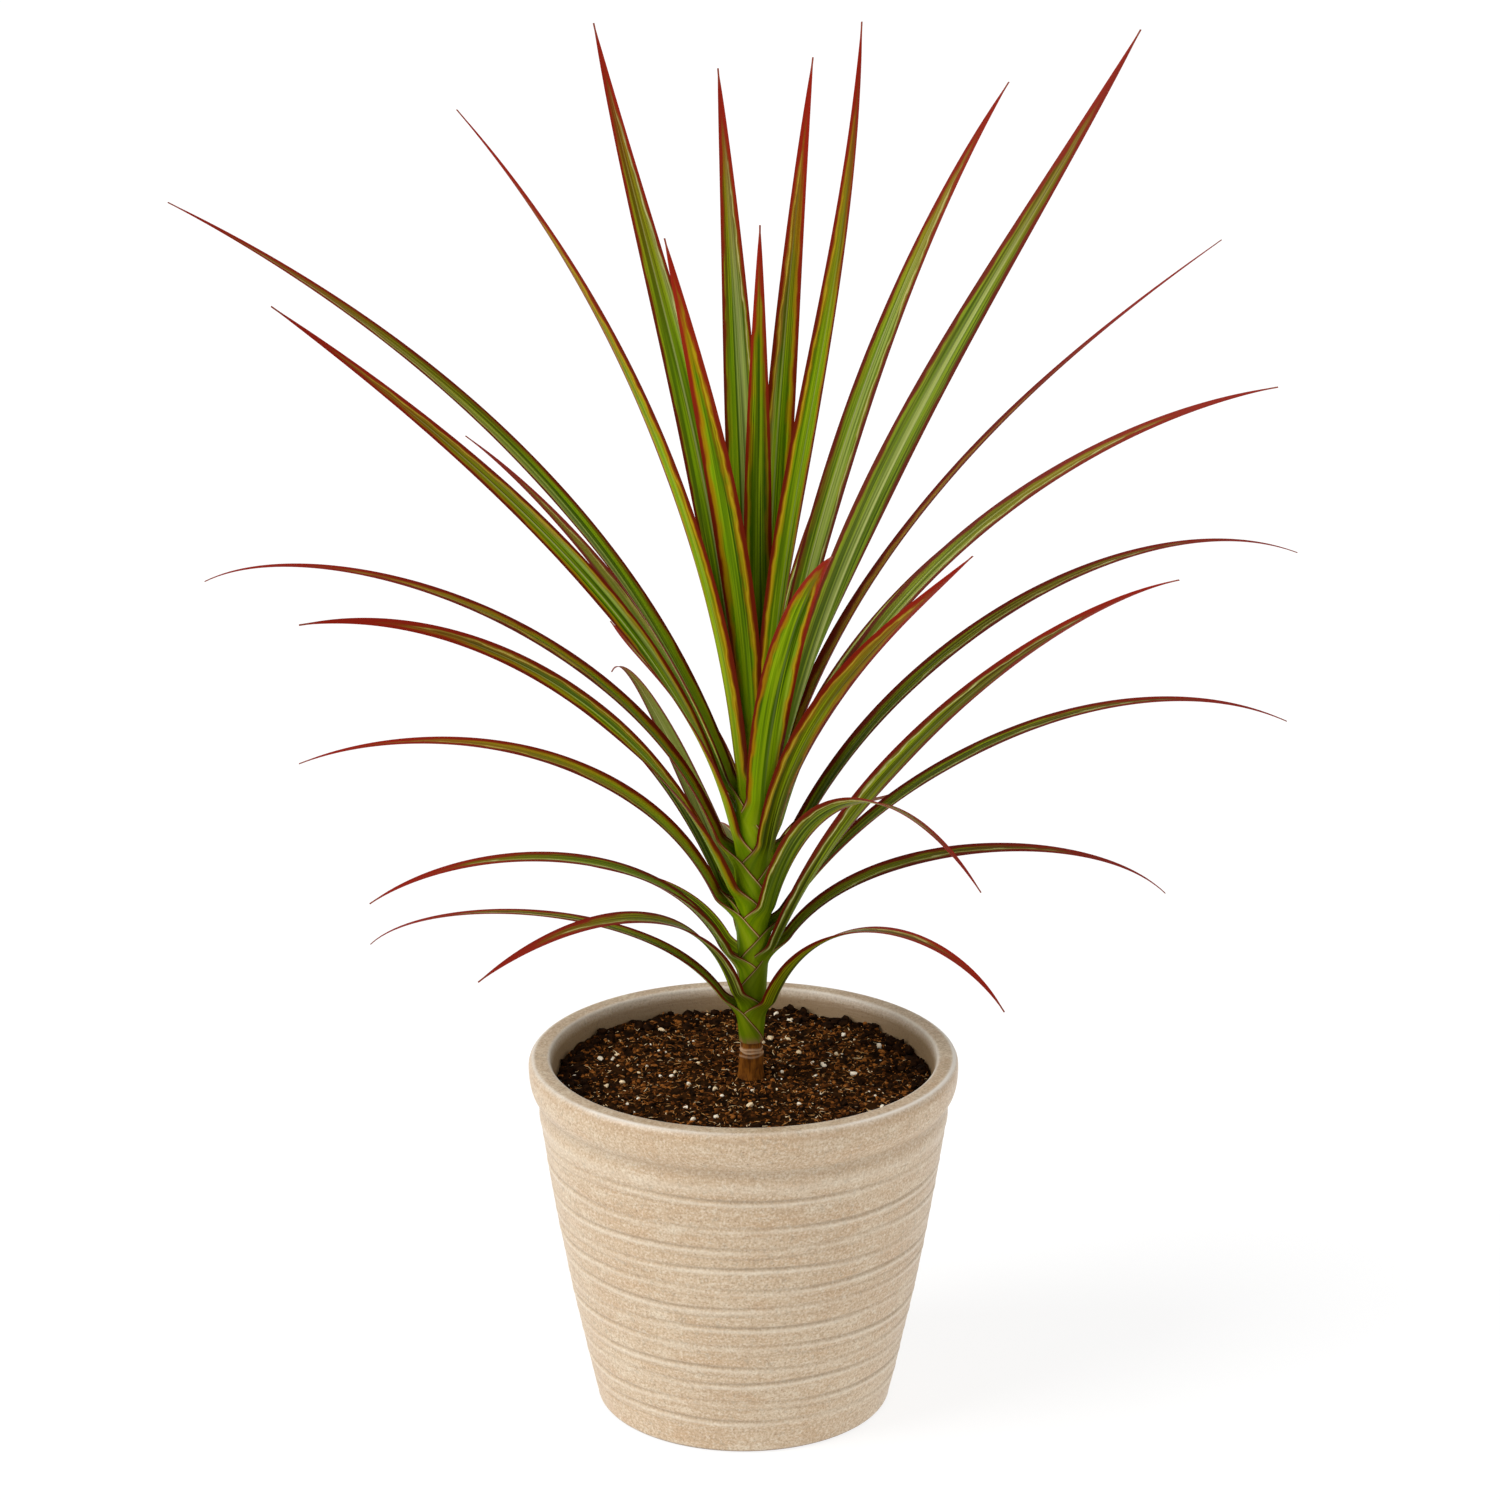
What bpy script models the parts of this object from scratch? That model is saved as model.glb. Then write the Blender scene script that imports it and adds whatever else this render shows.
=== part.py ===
"""A Madagascar dragon tree in a beige stoneware pot.

Each sub-part is one closed solid: the pot, the soil that fills it, the trunk and every leaf.
Sizes are in metres, +Z is up, and the origin is the middle of the pot's flat underside.
"""

import math
import random

import bmesh
import bpy
from mathutils import Vector

MM = 0.001
CLEARANCE = 0.3 * MM

# Pot
POT_SIDES = 48
RIM_TOP_Z = 153.5 * MM
RIM_INNER_RADIUS = 80.5 * MM
RIM_EDGE_ROUNDING = 1.0 * MM
LIP_RADIUS = 90.0 * MM
LIP_FOOT_Z = 137.0 * MM
# The lip's outline from its foot to its top: how far inside its widest radius, and the height
LIP_OUTLINE = (
    (3.4 * MM, LIP_FOOT_Z),
    (1.2 * MM, 140.5 * MM),
    (0.2 * MM, 145.0 * MM),
    (0.0, 149.5 * MM),
    (0.8 * MM, 152.2 * MM),
    (2.8 * MM, RIM_TOP_Z),
)
BODY_TOP_RADIUS = 86.6 * MM
BODY_BASE_RADIUS = 61.9 * MM
BODY_BELLY = 1.9 * MM
BASE_ROUNDING = 2.5 * MM
BASE_ROUNDING_STEPS = 3
INNER_FLOOR_RADIUS = 54.0 * MM
INNER_BOW = 0.9
INNER_RINGS = 3
FLOOR_THICKNESS = 9.0 * MM
RIB_COUNT = 12
RIB_TOP_Z = 123.0 * MM
RIB_BOTTOM_Z = 14.5 * MM
RIB_DEPTH = 0.9 * MM
RIB_CREST_SHARE = 0.45

# Soil
SOIL_TOP_Z = 143.0 * MM
SOIL_EDGE_DROP = 1.5 * MM
SOIL_WALL_GAP = 0.6 * MM
SOIL_WALL_RINGS = 4
SOIL_TOP_RADII = (72.0 * MM, 60.0 * MM, 44.0 * MM, 28.0 * MM)
SOIL_FLAT_RADIUS = 12.0 * MM
SOIL_ROUGHNESS = 1.2 * MM
SOIL_SEED = 7

# Trunk: its radius is given at named heights and runs straight between them
TRUNK_SIDES = 20
TRUNK_FOOT_Z = SOIL_TOP_Z + CLEARANCE
TRUNK_TOP_Z = 290.0 * MM
TRUNK_FOOT_X = 3.0 * MM
TRUNK_TOP_X = 5.5 * MM
TRUNK_TAPER = (
    (TRUNK_FOOT_Z, 5.7 * MM),
    (146.0 * MM, 5.2 * MM),
    (158.0 * MM, 5.1 * MM),
    (172.0 * MM, 5.8 * MM),
    (205.0 * MM, 6.2 * MM),
    (268.0 * MM, 6.4 * MM),
    (TRUNK_TOP_Z, 2.0 * MM),
)
SHEATH_FIRST_Z = 158.0 * MM
SHEATH_LAST_Z = 288.0 * MM
SHEATH_PITCH = 6.0 * MM
SHEATH_EDGE = 0.6 * MM
SHEATH_RELIEF = 0.3 * MM

# Leaves: a share is a part of the leaf's length
BLADE_STATIONS = 15
BLADE_THICKNESS_SHARE = 0.0102
BLADE_LEAST_THICKNESS = 1.9 * MM
TIP_THICKNESS = 1.0 * MM
TIP_THINNING_SHARE = 0.1
TIP_HALF_WIDTH = 0.5 * MM
TIP_TAPER_SHARE = 0.52
TIP_TAPER_SHARPNESS = 6.0
FOOT_WIDTH_SHARE = 0.38
FOOT_NECK_SHARE = 0.25
FOOT_CHANNEL = 0.30
TIP_CHANNEL = 0.10
CHANNEL_SHARE = 0.5
TURN_SHARE = 0.45

# One row a leaf, from the lowest up. Lengths are in millimetres and angles in degrees:
# height of the foot, direction seen from above (0 is +X, 90 is +Y), reach of the tip from the trunk,
# height of the tip, slope at the foot, slope at the tip, how far each of those slopes carries in percent
# of the straight run from foot to tip, width, and how far the blade turns about its rib.
LEAF_PLAN = (
    (158, 315, 140, 209, 80, -45, 52, 34, 11.0, 0),
    (161, 174, 161, 196, 79, -45, 39, 23, 9.0, 0),
    (164, 230, 163, 231, 82, -17, 44, 33, 10.0, -20),
    (168, 86, 124, 178, 76, -36, 48, 34, 9.0, 0),
    (175, 24, 197, 197, 87, -45, 39, 31, 8.0, 20),
    (178, 129, 115, 207, 69, -6, 46, 27, 9.0, 0),
    (179, 205, 167, 244, 84, -28, 41, 32, 10.0, -15),
    (188, 168, 195, 268, 83, -24, 49, 34, 10.0, -15),
    (189, 97, 145, 209, 61, -19, 37, 37, 9.0, 0),
    (192, 330, 187, 382, 70, 18, 38, 22, 11.0, -40),
    (197, 87, 160, 216, 71, -15, 45, 34, 10.0, 0),
    (202, 139, 147, 304, 67, 14, 48, 35, 9.0, 0),
    (203, 298, 180, 279, 74, -28, 48, 37, 11.0, -20),
    (204, 10, 227, 287, 60, -26, 39, 32, 10.5, 8),
    (210, 115, 148, 282, 42, -48, 28, 20, 11.0, 5),
    (210, 64, 149, 227, 60, -2, 45, 35, 10.0, 0),
    (213, 168, 234, 345, 83, -28, 47, 23, 10.0, -10),
    (214, 214, 206, 370, 72, 0, 36, 31, 11.0, -50),
    (219, 26, 262, 341, 69, -23, 41, 30, 11.0, 5),
    (223, 79, 191, 282, 70, 8, 43, 34, 11.0, 0),
    (226, 305, 142, 397, 86, 38, 36, 30, 12.0, -20),
    (228, 200, 195, 482, 88, 38, 33, 21, 12.5, -50),
    (229, 355, 207, 441, 84, 11, 38, 31, 12.0, 30),
    (231, 111, 180, 296, 68, 11, 40, 33, 11.0, 0),
    (238, 120, 175, 335, 66, 14, 40, 34, 11.0, 5),
    (241, 47, 229, 377, 69, 10, 37, 34, 11.0, 0),
    (244, 140, 161, 395, 74, 22, 35, 26, 11.0, 5),
    (246, 282, 136, 401, 81, 25, 36, 31, 15.0, -20),
    (251, 72, 168, 410, 77, 29, 38, 34, 12.0, 0),
    (256, 28, 222, 479, 76, 28, 38, 31, 11.0, -16),
    (256, 218, 140, 559, 87, 47, 36, 31, 11.0, 0),
    (257, 165, 249, 501, 73, 24, 37, 33, 13.0, -10),
    (262, 338, 155, 585, 79, 61, 37, 34, 14.0, -60),
    (264, 97, 109, 455, 83, 48, 37, 34, 12.0, 0),
    (268, 152, 73, 577, 88, 76, 41, 35, 15.0, -55),
    (269, 50, 166, 542, 77, 41, 37, 30, 12.0, 18),
    (278, 60, 45, 563, 86, 77, 38, 30, 13.5, 15),
    (279, 240, 70, 507, 88, 67, 36, 33, 13.5, 20),
    (279, 314, 57, 586, 88, 87, 36, 34, 12.0, -12),
    (287, 128, 25, 561, 88, 82, 36, 34, 15.0, -35),
    (291, 272, 30, 507, 88, 75, 36, 34, 12.0, -10),
)


def clear_scene():
    for item in list(bpy.data.objects):
        bpy.data.objects.remove(item, do_unlink=True)


def make_material(name, colour, roughness, metallic=0.0):
    material = bpy.data.materials.new(name)
    material.use_nodes = True
    shader = material.node_tree.nodes["Principled BSDF"]
    shader.inputs["Base Color"].default_value = (*colour, 1.0)
    shader.inputs["Roughness"].default_value = roughness
    shader.inputs["Metallic"].default_value = metallic
    return material


def add_object(name, points, faces, material, parent, sharp_angle):
    mesh = bpy.data.meshes.new(name)
    mesh.from_pydata(points, [], faces)
    shape = bmesh.new()
    shape.from_mesh(mesh)
    bmesh.ops.recalc_face_normals(shape, faces=shape.faces)
    shape.to_mesh(mesh)
    shape.free()
    mesh.shade_smooth()
    mesh.set_sharp_from_angle(angle=math.radians(sharp_angle))
    mesh.materials.append(material)
    item = bpy.data.objects.new(name, mesh)
    item.parent = parent
    bpy.context.scene.collection.objects.link(item)
    return item


def turned_solid(profile, sides, lift=None):
    """Points and faces of a profile of (radius, height, axis offset) turned about the trunk's or pot's axis.

    The first and last profile points lie on the axis. lift adds a height to a point from its ring and side.
    """
    points = [(profile[0][2], 0.0, profile[0][1])]
    for ring, (radius, height, offset) in enumerate(profile[1:-1], start=1):
        for side in range(sides):
            angle = 2.0 * math.pi * side / sides
            rise = lift(ring, side) if lift else 0.0
            points.append((offset + radius * math.cos(angle), radius * math.sin(angle), height + rise))
    points.append((profile[-1][2], 0.0, profile[-1][1]))
    rings = len(profile) - 2
    last = len(points) - 1
    faces = []
    for side in range(sides):
        after = (side + 1) % sides
        faces.append((0, 1 + after, 1 + side))
        for ring in range(rings - 1):
            low = 1 + ring * sides
            high = low + sides
            faces.append((low + side, low + after, high + after, high + side))
        top = 1 + (rings - 1) * sides
        faces.append((top + side, top + after, last))
    return points, faces


def body_radius(height):
    """Outer radius of the pot's wall below the lip, before its ribs."""
    share = height / LIP_FOOT_Z
    straight = BODY_BASE_RADIUS + (BODY_TOP_RADIUS - BODY_BASE_RADIUS) * share
    return straight + BODY_BELLY * 4.0 * share * (1.0 - share)


def inner_radius(height):
    """Radius of the pot's inside, from its floor to the rim."""
    share = (height - FLOOR_THICKNESS) / (RIM_TOP_Z - FLOOR_THICKNESS)
    return INNER_FLOOR_RADIUS + (RIM_INNER_RADIUS - INNER_FLOOR_RADIUS) * share ** INNER_BOW


def pot_profile():
    """The wall's outline from the middle of the underside, up the outside, over the lip and down to the inner floor."""
    profile = [(0.0, 0.0)]
    centre_radius = body_radius(BASE_ROUNDING) - BASE_ROUNDING
    for step in range(BASE_ROUNDING_STEPS + 1):
        angle = 0.5 * math.pi * step / BASE_ROUNDING_STEPS
        radius = centre_radius + BASE_ROUNDING * math.sin(angle)
        profile.append((radius, BASE_ROUNDING * (1.0 - math.cos(angle))))
    pitch = (RIB_TOP_Z - RIB_BOTTOM_Z) / (RIB_COUNT - 1)
    for rib in range(RIB_COUNT):
        groove = RIB_BOTTOM_Z + rib * pitch
        crest = groove + RIB_CREST_SHARE * pitch
        profile.append((body_radius(groove) - RIB_DEPTH, groove))
        profile.append((body_radius(crest), crest))
    profile += [(LIP_RADIUS - inset, height) for inset, height in LIP_OUTLINE]
    profile.append((RIM_INNER_RADIUS + RIM_EDGE_ROUNDING, RIM_TOP_Z))
    profile.append((RIM_INNER_RADIUS, RIM_TOP_Z - RIM_EDGE_ROUNDING))
    for ring in reversed(range(INNER_RINGS)):
        height = FLOOR_THICKNESS + (RIM_TOP_Z - FLOOR_THICKNESS) * ring / INNER_RINGS
        profile.append((inner_radius(height), height))
    profile.append((0.0, FLOOR_THICKNESS))
    return [(radius, height, 0.0) for radius, height in profile]


def make_pot(material, parent):
    points, faces = turned_solid(pot_profile(), POT_SIDES)
    add_object("pot", points, faces, material, parent, 50.0)


def make_soil(material, parent):
    """The soil stands clear of the pot's wall and is flat where the trunk meets it."""
    dice = random.Random(SOIL_SEED)
    floor = FLOOR_THICKNESS + CLEARANCE
    edge = SOIL_TOP_Z - SOIL_EDGE_DROP
    profile = [(0.0, floor)]
    for ring in range(SOIL_WALL_RINGS):
        height = floor + (edge - floor) * ring / (SOIL_WALL_RINGS - 1)
        profile.append((inner_radius(height) - SOIL_WALL_GAP, height))
    profile += [(radius, SOIL_TOP_Z) for radius in SOIL_TOP_RADII]
    profile.append((SOIL_FLAT_RADIUS, SOIL_TOP_Z))
    profile.append((0.0, SOIL_TOP_Z))
    flat_ring = len(profile) - 2

    def lift(ring, side):
        if ring < SOIL_WALL_RINGS or ring == flat_ring:
            return 0.0
        return dice.uniform(-1.0, 1.0) * SOIL_ROUGHNESS

    points, faces = turned_solid([(r, z, 0.0) for r, z in profile], POT_SIDES, lift)
    add_object("soil", points, faces, material, parent, 50.0)


def trunk_axis_x(height):
    share = (height - TRUNK_FOOT_Z) / (TRUNK_TOP_Z - TRUNK_FOOT_Z)
    return TRUNK_FOOT_X + (TRUNK_TOP_X - TRUNK_FOOT_X) * share


def trunk_radius(height):
    """Radius of the trunk without the relief of its leaf sheaths, and zero above its top."""
    if height > TRUNK_TOP_Z:
        return 0.0
    for (low, low_radius), (high, high_radius) in zip(TRUNK_TAPER, TRUNK_TAPER[1:]):
        if height <= high:
            share = (height - low) / (high - low)
            return low_radius + (high_radius - low_radius) * share
    return TRUNK_TAPER[-1][1]


def make_trunk(material, parent):
    """A bare foot, then the stacked rings of old sheaths, each of which widens a little to its top edge."""
    rings = [(height, trunk_radius(height)) for height, _ in TRUNK_TAPER[:3]]
    height = SHEATH_FIRST_Z + SHEATH_PITCH
    while height < SHEATH_LAST_Z:
        rings.append((height - SHEATH_EDGE, trunk_radius(height)))
        rings.append((height, trunk_radius(height) - SHEATH_RELIEF))
        height += SHEATH_PITCH
    rings.append((TRUNK_TOP_Z, trunk_radius(TRUNK_TOP_Z)))
    profile = [(0.0, TRUNK_FOOT_Z, trunk_axis_x(TRUNK_FOOT_Z))]
    profile += [(radius, level, trunk_axis_x(level)) for level, radius in rings]
    profile.append((0.0, TRUNK_TOP_Z, trunk_axis_x(TRUNK_TOP_Z)))
    points, faces = turned_solid(profile, TRUNK_SIDES)
    add_object("trunk", points, faces, material, parent, 50.0)


def ease(share):
    share = min(1.0, max(0.0, share))
    return share * share * (3.0 - 2.0 * share)


def leaf_rib(row):
    """Points and directions along a leaf's rib: one cubic curve in the upright plane of its direction."""
    foot_z, direction, reach, tip_z, foot_slope, tip_slope, foot_carry, tip_carry = row[:8]
    foot_z *= MM
    out = Vector((math.cos(math.radians(direction)), math.sin(math.radians(direction)), 0.0))
    up = Vector((0.0, 0.0, 1.0))
    axis = Vector((trunk_axis_x(foot_z), 0.0, 0.0))
    foot = axis + out * (trunk_radius(foot_z) + CLEARANCE) + up * foot_z
    tip = axis + out * reach * MM + up * tip_z * MM
    chord = (tip - foot).length
    foot_way = out * math.cos(math.radians(foot_slope)) + up * math.sin(math.radians(foot_slope))
    tip_way = out * math.cos(math.radians(tip_slope)) + up * math.sin(math.radians(tip_slope))
    first = foot + foot_way * chord * foot_carry / 100.0
    second = tip - tip_way * chord * tip_carry / 100.0
    points = []
    ways = []
    for station in range(BLADE_STATIONS + 1):
        t = station / BLADE_STATIONS
        u = 1.0 - t
        points.append(foot * u ** 3 + first * 3 * u * u * t + second * 3 * u * t * t + tip * t ** 3)
        way = (first - foot) * u * u + (second - first) * 2 * u * t + (tip - second) * t * t
        ways.append(way.normalized())
    return points, ways, Vector((-out.y, out.x, 0.0))


def blade_half_width(share, width):
    """Half the blade's width at a share of its length: a narrow foot, a long body and a long taper to the tip."""
    neck = FOOT_WIDTH_SHARE + (1.0 - FOOT_WIDTH_SHARE) * ease(share / FOOT_NECK_SHARE)
    to_tip = (1.0 - share) / TIP_TAPER_SHARE
    taper = to_tip / (1.0 + to_tip ** TIP_TAPER_SHARPNESS) ** (1.0 / TIP_TAPER_SHARPNESS)
    return max(TIP_HALF_WIDTH, 0.5 * width * neck * taper)


def make_leaf(name, row, material, parent):
    """A channelled blade: at each station three points of its upper face and three of its lower face."""
    points, ways, side = leaf_rib(row)
    width = row[8] * MM
    turn = math.radians(row[9])
    runs = [0.0]
    for before, after in zip(points, points[1:]):
        runs.append(runs[-1] + (after - before).length)
    length = runs[-1]
    full = max(BLADE_LEAST_THICKNESS, BLADE_THICKNESS_SHARE * length)
    corners = []
    for point, way, run in zip(points, ways, runs):
        share = run / length
        face = way.cross(side)
        angle = turn * ease(share / TURN_SHARE)
        across = side * math.cos(angle) + face * math.sin(angle)
        normal = face * math.cos(angle) - side * math.sin(angle)
        half = blade_half_width(share, width)
        edge_rise = half * (FOOT_CHANNEL + (TIP_CHANNEL - FOOT_CHANNEL) * ease(share / CHANNEL_SHARE))
        thinning = ease((share - (1.0 - TIP_THINNING_SHARE)) / TIP_THINNING_SHARE)
        thickness = full + (TIP_THICKNESS - full) * thinning
        upper = (point - across * half + normal * edge_rise, point, point + across * half + normal * edge_rise)
        corners += upper
        corners += [corner - normal * thickness for corner in reversed(upper)]
    faces = [(0, 1, 4, 5), (1, 2, 3, 4)]
    for station in range(BLADE_STATIONS):
        low = 6 * station
        high = low + 6
        for corner in range(6):
            after = (corner + 1) % 6
            faces.append((low + corner, low + after, high + after, high + corner))
    end = 6 * BLADE_STATIONS
    faces += [(end, end + 5, end + 4, end + 1), (end + 1, end + 4, end + 3, end + 2)]
    add_object(name, [tuple(corner) for corner in corners], faces, material, parent, 40.0)


def main():
    clear_scene()
    parent = bpy.data.objects.new("potted_dragon_tree", None)
    bpy.context.scene.collection.objects.link(parent)
    stoneware = make_material("stoneware", (0.56, 0.45, 0.33), 0.45)
    earth = make_material("soil", (0.045, 0.022, 0.012), 0.95)
    bark = make_material("bark", (0.15, 0.075, 0.035), 0.75)
    leaf_green = make_material("leaf_green", (0.13, 0.24, 0.02), 0.4)
    make_pot(stoneware, parent)
    make_soil(earth, parent)
    make_trunk(bark, parent)
    for number, row in enumerate(LEAF_PLAN, start=1):
        make_leaf(f"leaf_{number:02d}", row, leaf_green, parent)


main()
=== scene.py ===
# Looks for the potted dragon tree: ribbed stoneware pot, potting soil, bark and forty-one leaves.
# Metres and +Z up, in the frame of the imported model. The photograph looks along +Y.
import math
import random

import bpy
import numpy as np
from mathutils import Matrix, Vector, noise


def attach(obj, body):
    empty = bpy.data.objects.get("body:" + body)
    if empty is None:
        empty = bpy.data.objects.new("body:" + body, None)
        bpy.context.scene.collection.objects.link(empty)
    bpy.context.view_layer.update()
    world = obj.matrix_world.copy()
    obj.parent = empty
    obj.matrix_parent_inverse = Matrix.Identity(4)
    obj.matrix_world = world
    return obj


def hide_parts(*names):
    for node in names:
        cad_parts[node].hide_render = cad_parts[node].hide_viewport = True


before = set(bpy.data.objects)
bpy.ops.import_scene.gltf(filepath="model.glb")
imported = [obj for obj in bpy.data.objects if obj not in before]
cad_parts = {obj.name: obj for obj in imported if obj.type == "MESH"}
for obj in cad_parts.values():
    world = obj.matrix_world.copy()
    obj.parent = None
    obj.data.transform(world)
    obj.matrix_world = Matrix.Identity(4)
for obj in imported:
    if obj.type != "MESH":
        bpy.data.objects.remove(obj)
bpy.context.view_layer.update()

MM = 0.001

# Camera: the photograph's place, tilt and angle of view
CAMERA_PLACE = (0.0027, -1.556, 0.756)
CAMERA_TILT_DOWN = 16.8
CAMERA_LENS = 95.28
SENSOR_WIDTH = 36.0

# Light
WORLD_STRENGTH = 0.42
KEY_STRENGTH = 2.2
FILL_STRENGTH = 0.6
FLOOR_GLOW = 0.79
LEAF_SPECULAR = 0.03
SOIL_SPECULAR = 0.03
BARK_SPECULAR = 0.06

# Pot, the same sizes as its solid
RIM_TOP_Z = 153.5
RIM_INNER_RADIUS = 80.5
LIP_FOOT_Z = 137.0
LIP_OUTLINE = (
    (86.0, 135.4), (86.5, 136.4), (87.4, 137.8), (88.5, 139.8), (89.3, 142.4), (89.8, 145.6), (90.0, 149.0),
    (89.8, 151.2), (89.1, 152.6), (88.0, 153.3), (86.4, 153.5), (83.4, 153.5), (81.9, 153.3), (81.1, 152.7),
    (80.7, 151.6),
)
BODY_TOP_RADIUS = 86.6
BODY_BASE_RADIUS = 61.9
BODY_BELLY = 1.9
BASE_ROUNDING = 2.5
INNER_FLOOR_RADIUS = 54.0
INNER_BOW = 0.9
FLOOR_THICKNESS = 9.0
GROOVE_HEIGHTS = (122.5, 110.0, 100.0, 90.0, 81.0, 72.0, 62.0, 53.0, 43.0, 35.0, 25.0, 16.0)
GROOVE_DEPTH = 0.60
GROOVE_HALF_WIDTH = 0.7
COVE_Z = 134.2
COVE_DEPTH = 0.8
POT_SIDES = 180

# Soil
SOIL_TOP_Z = 143.0
SOIL_RADIUS = 78.4

# Trunk and the leaf rule, the same as for their solids
TRUNK_FOOT_Z = 143.3
TRUNK_TOP_Z = 290.0
TRUNK_FOOT_X = 3.0
TRUNK_TOP_X = 5.5
TRUNK_TAPER = (
    (143.3, 5.7), (146.0, 5.2), (158.0, 5.1), (172.0, 5.8), (205.0, 6.2), (268.0, 6.4), (290.0, 2.0),
)
# The stem that shows: its bare foot as in the solid, then drawn in so that the sheaths lie round it
STEM_TAPER = (
    (143.3, 5.7), (146.0, 5.2), (153.0, 5.0), (158.0, 4.4), (162.0, 4.1), (175.0, 4.6), (196.0, 4.7),
    (221.0, 5.5), (268.0, 6.0), (290.0, 2.0),
)
CLEARANCE = 0.3
TIP_TAPER_SHARE = 0.52
TIP_TAPER_SHARPNESS = 6.0
TIP_FULLNESS = 0.80
TIP_HALF_WIDTH = 0.35
TURN_SHARE = 0.45

# One row a leaf, from the lowest up, as for the solids: height of the foot, direction, reach, height of
# the tip, slope at the foot, slope at the tip, how far each slope carries in percent, width, turn about
# the rib. Lengths are in millimetres and angles in degrees.
LEAF_PLAN = (
    (158, 315, 140, 209, 80, -45, 52, 34, 11.0, 0),
    (161, 174, 161, 196, 79, -45, 39, 23, 9.0, 0),
    (164, 230, 163, 231, 82, -17, 44, 33, 10.0, -20),
    (168, 86, 124, 178, 76, -36, 48, 34, 9.0, 0),
    (175, 24, 197, 197, 87, -45, 39, 31, 8.0, 20),
    (178, 129, 115, 207, 69, -6, 46, 27, 9.0, 0),
    (179, 205, 167, 244, 84, -28, 41, 32, 10.0, -15),
    (188, 168, 195, 268, 83, -24, 49, 34, 10.0, -15),
    (189, 97, 145, 209, 61, -19, 37, 37, 9.0, 0),
    (192, 330, 187, 382, 70, 18, 38, 22, 11.0, -40),
    (197, 87, 160, 216, 71, -15, 45, 34, 10.0, 0),
    (202, 139, 147, 304, 67, 14, 48, 35, 9.0, 0),
    (203, 298, 180, 279, 74, -28, 48, 37, 11.0, -20),
    (204, 10, 227, 287, 60, -26, 39, 32, 10.5, 8),
    (210, 115, 148, 282, 42, -48, 28, 20, 11.0, 5),
    (210, 64, 149, 227, 60, -2, 45, 35, 10.0, 0),
    (213, 168, 234, 345, 83, -28, 47, 23, 10.0, -10),
    (214, 214, 206, 370, 72, 0, 36, 31, 11.0, -50),
    (219, 26, 262, 341, 69, -23, 41, 30, 11.0, 5),
    (223, 79, 191, 282, 70, 8, 43, 34, 11.0, 0),
    (226, 305, 142, 397, 86, 38, 36, 30, 12.0, -20),
    (228, 200, 195, 482, 88, 38, 33, 21, 12.5, -50),
    (229, 355, 207, 441, 84, 11, 38, 31, 12.0, 30),
    (231, 111, 180, 296, 68, 11, 40, 33, 11.0, 0),
    (238, 120, 175, 335, 66, 14, 40, 34, 11.0, 5),
    (241, 47, 229, 377, 69, 10, 37, 34, 11.0, 0),
    (244, 140, 161, 395, 74, 22, 35, 26, 11.0, 5),
    (246, 282, 136, 401, 81, 25, 36, 31, 15.0, -20),
    (251, 72, 168, 410, 77, 29, 38, 34, 12.0, 0),
    (256, 28, 222, 479, 76, 28, 38, 31, 11.0, -16),
    (256, 218, 140, 559, 87, 47, 36, 31, 11.0, 0),
    (257, 165, 249, 501, 73, 24, 37, 33, 13.0, -10),
    (262, 338, 155, 585, 79, 61, 37, 34, 14.0, -60),
    (264, 97, 109, 455, 83, 48, 37, 34, 12.0, 0),
    (268, 152, 73, 577, 88, 76, 41, 35, 15.0, -55),
    (269, 50, 166, 542, 77, 41, 37, 30, 12.0, 18),
    (278, 60, 45, 563, 86, 77, 38, 30, 13.5, 15),
    (279, 240, 70, 507, 88, 67, 36, 33, 13.5, 20),
    (279, 314, 57, 586, 88, 87, 36, 34, 12.0, -12),
    (287, 128, 25, 561, 88, 82, 36, 34, 15.0, -35),
    (291, 272, 30, 507, 88, 75, 36, 34, 12.0, -10),
)

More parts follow.
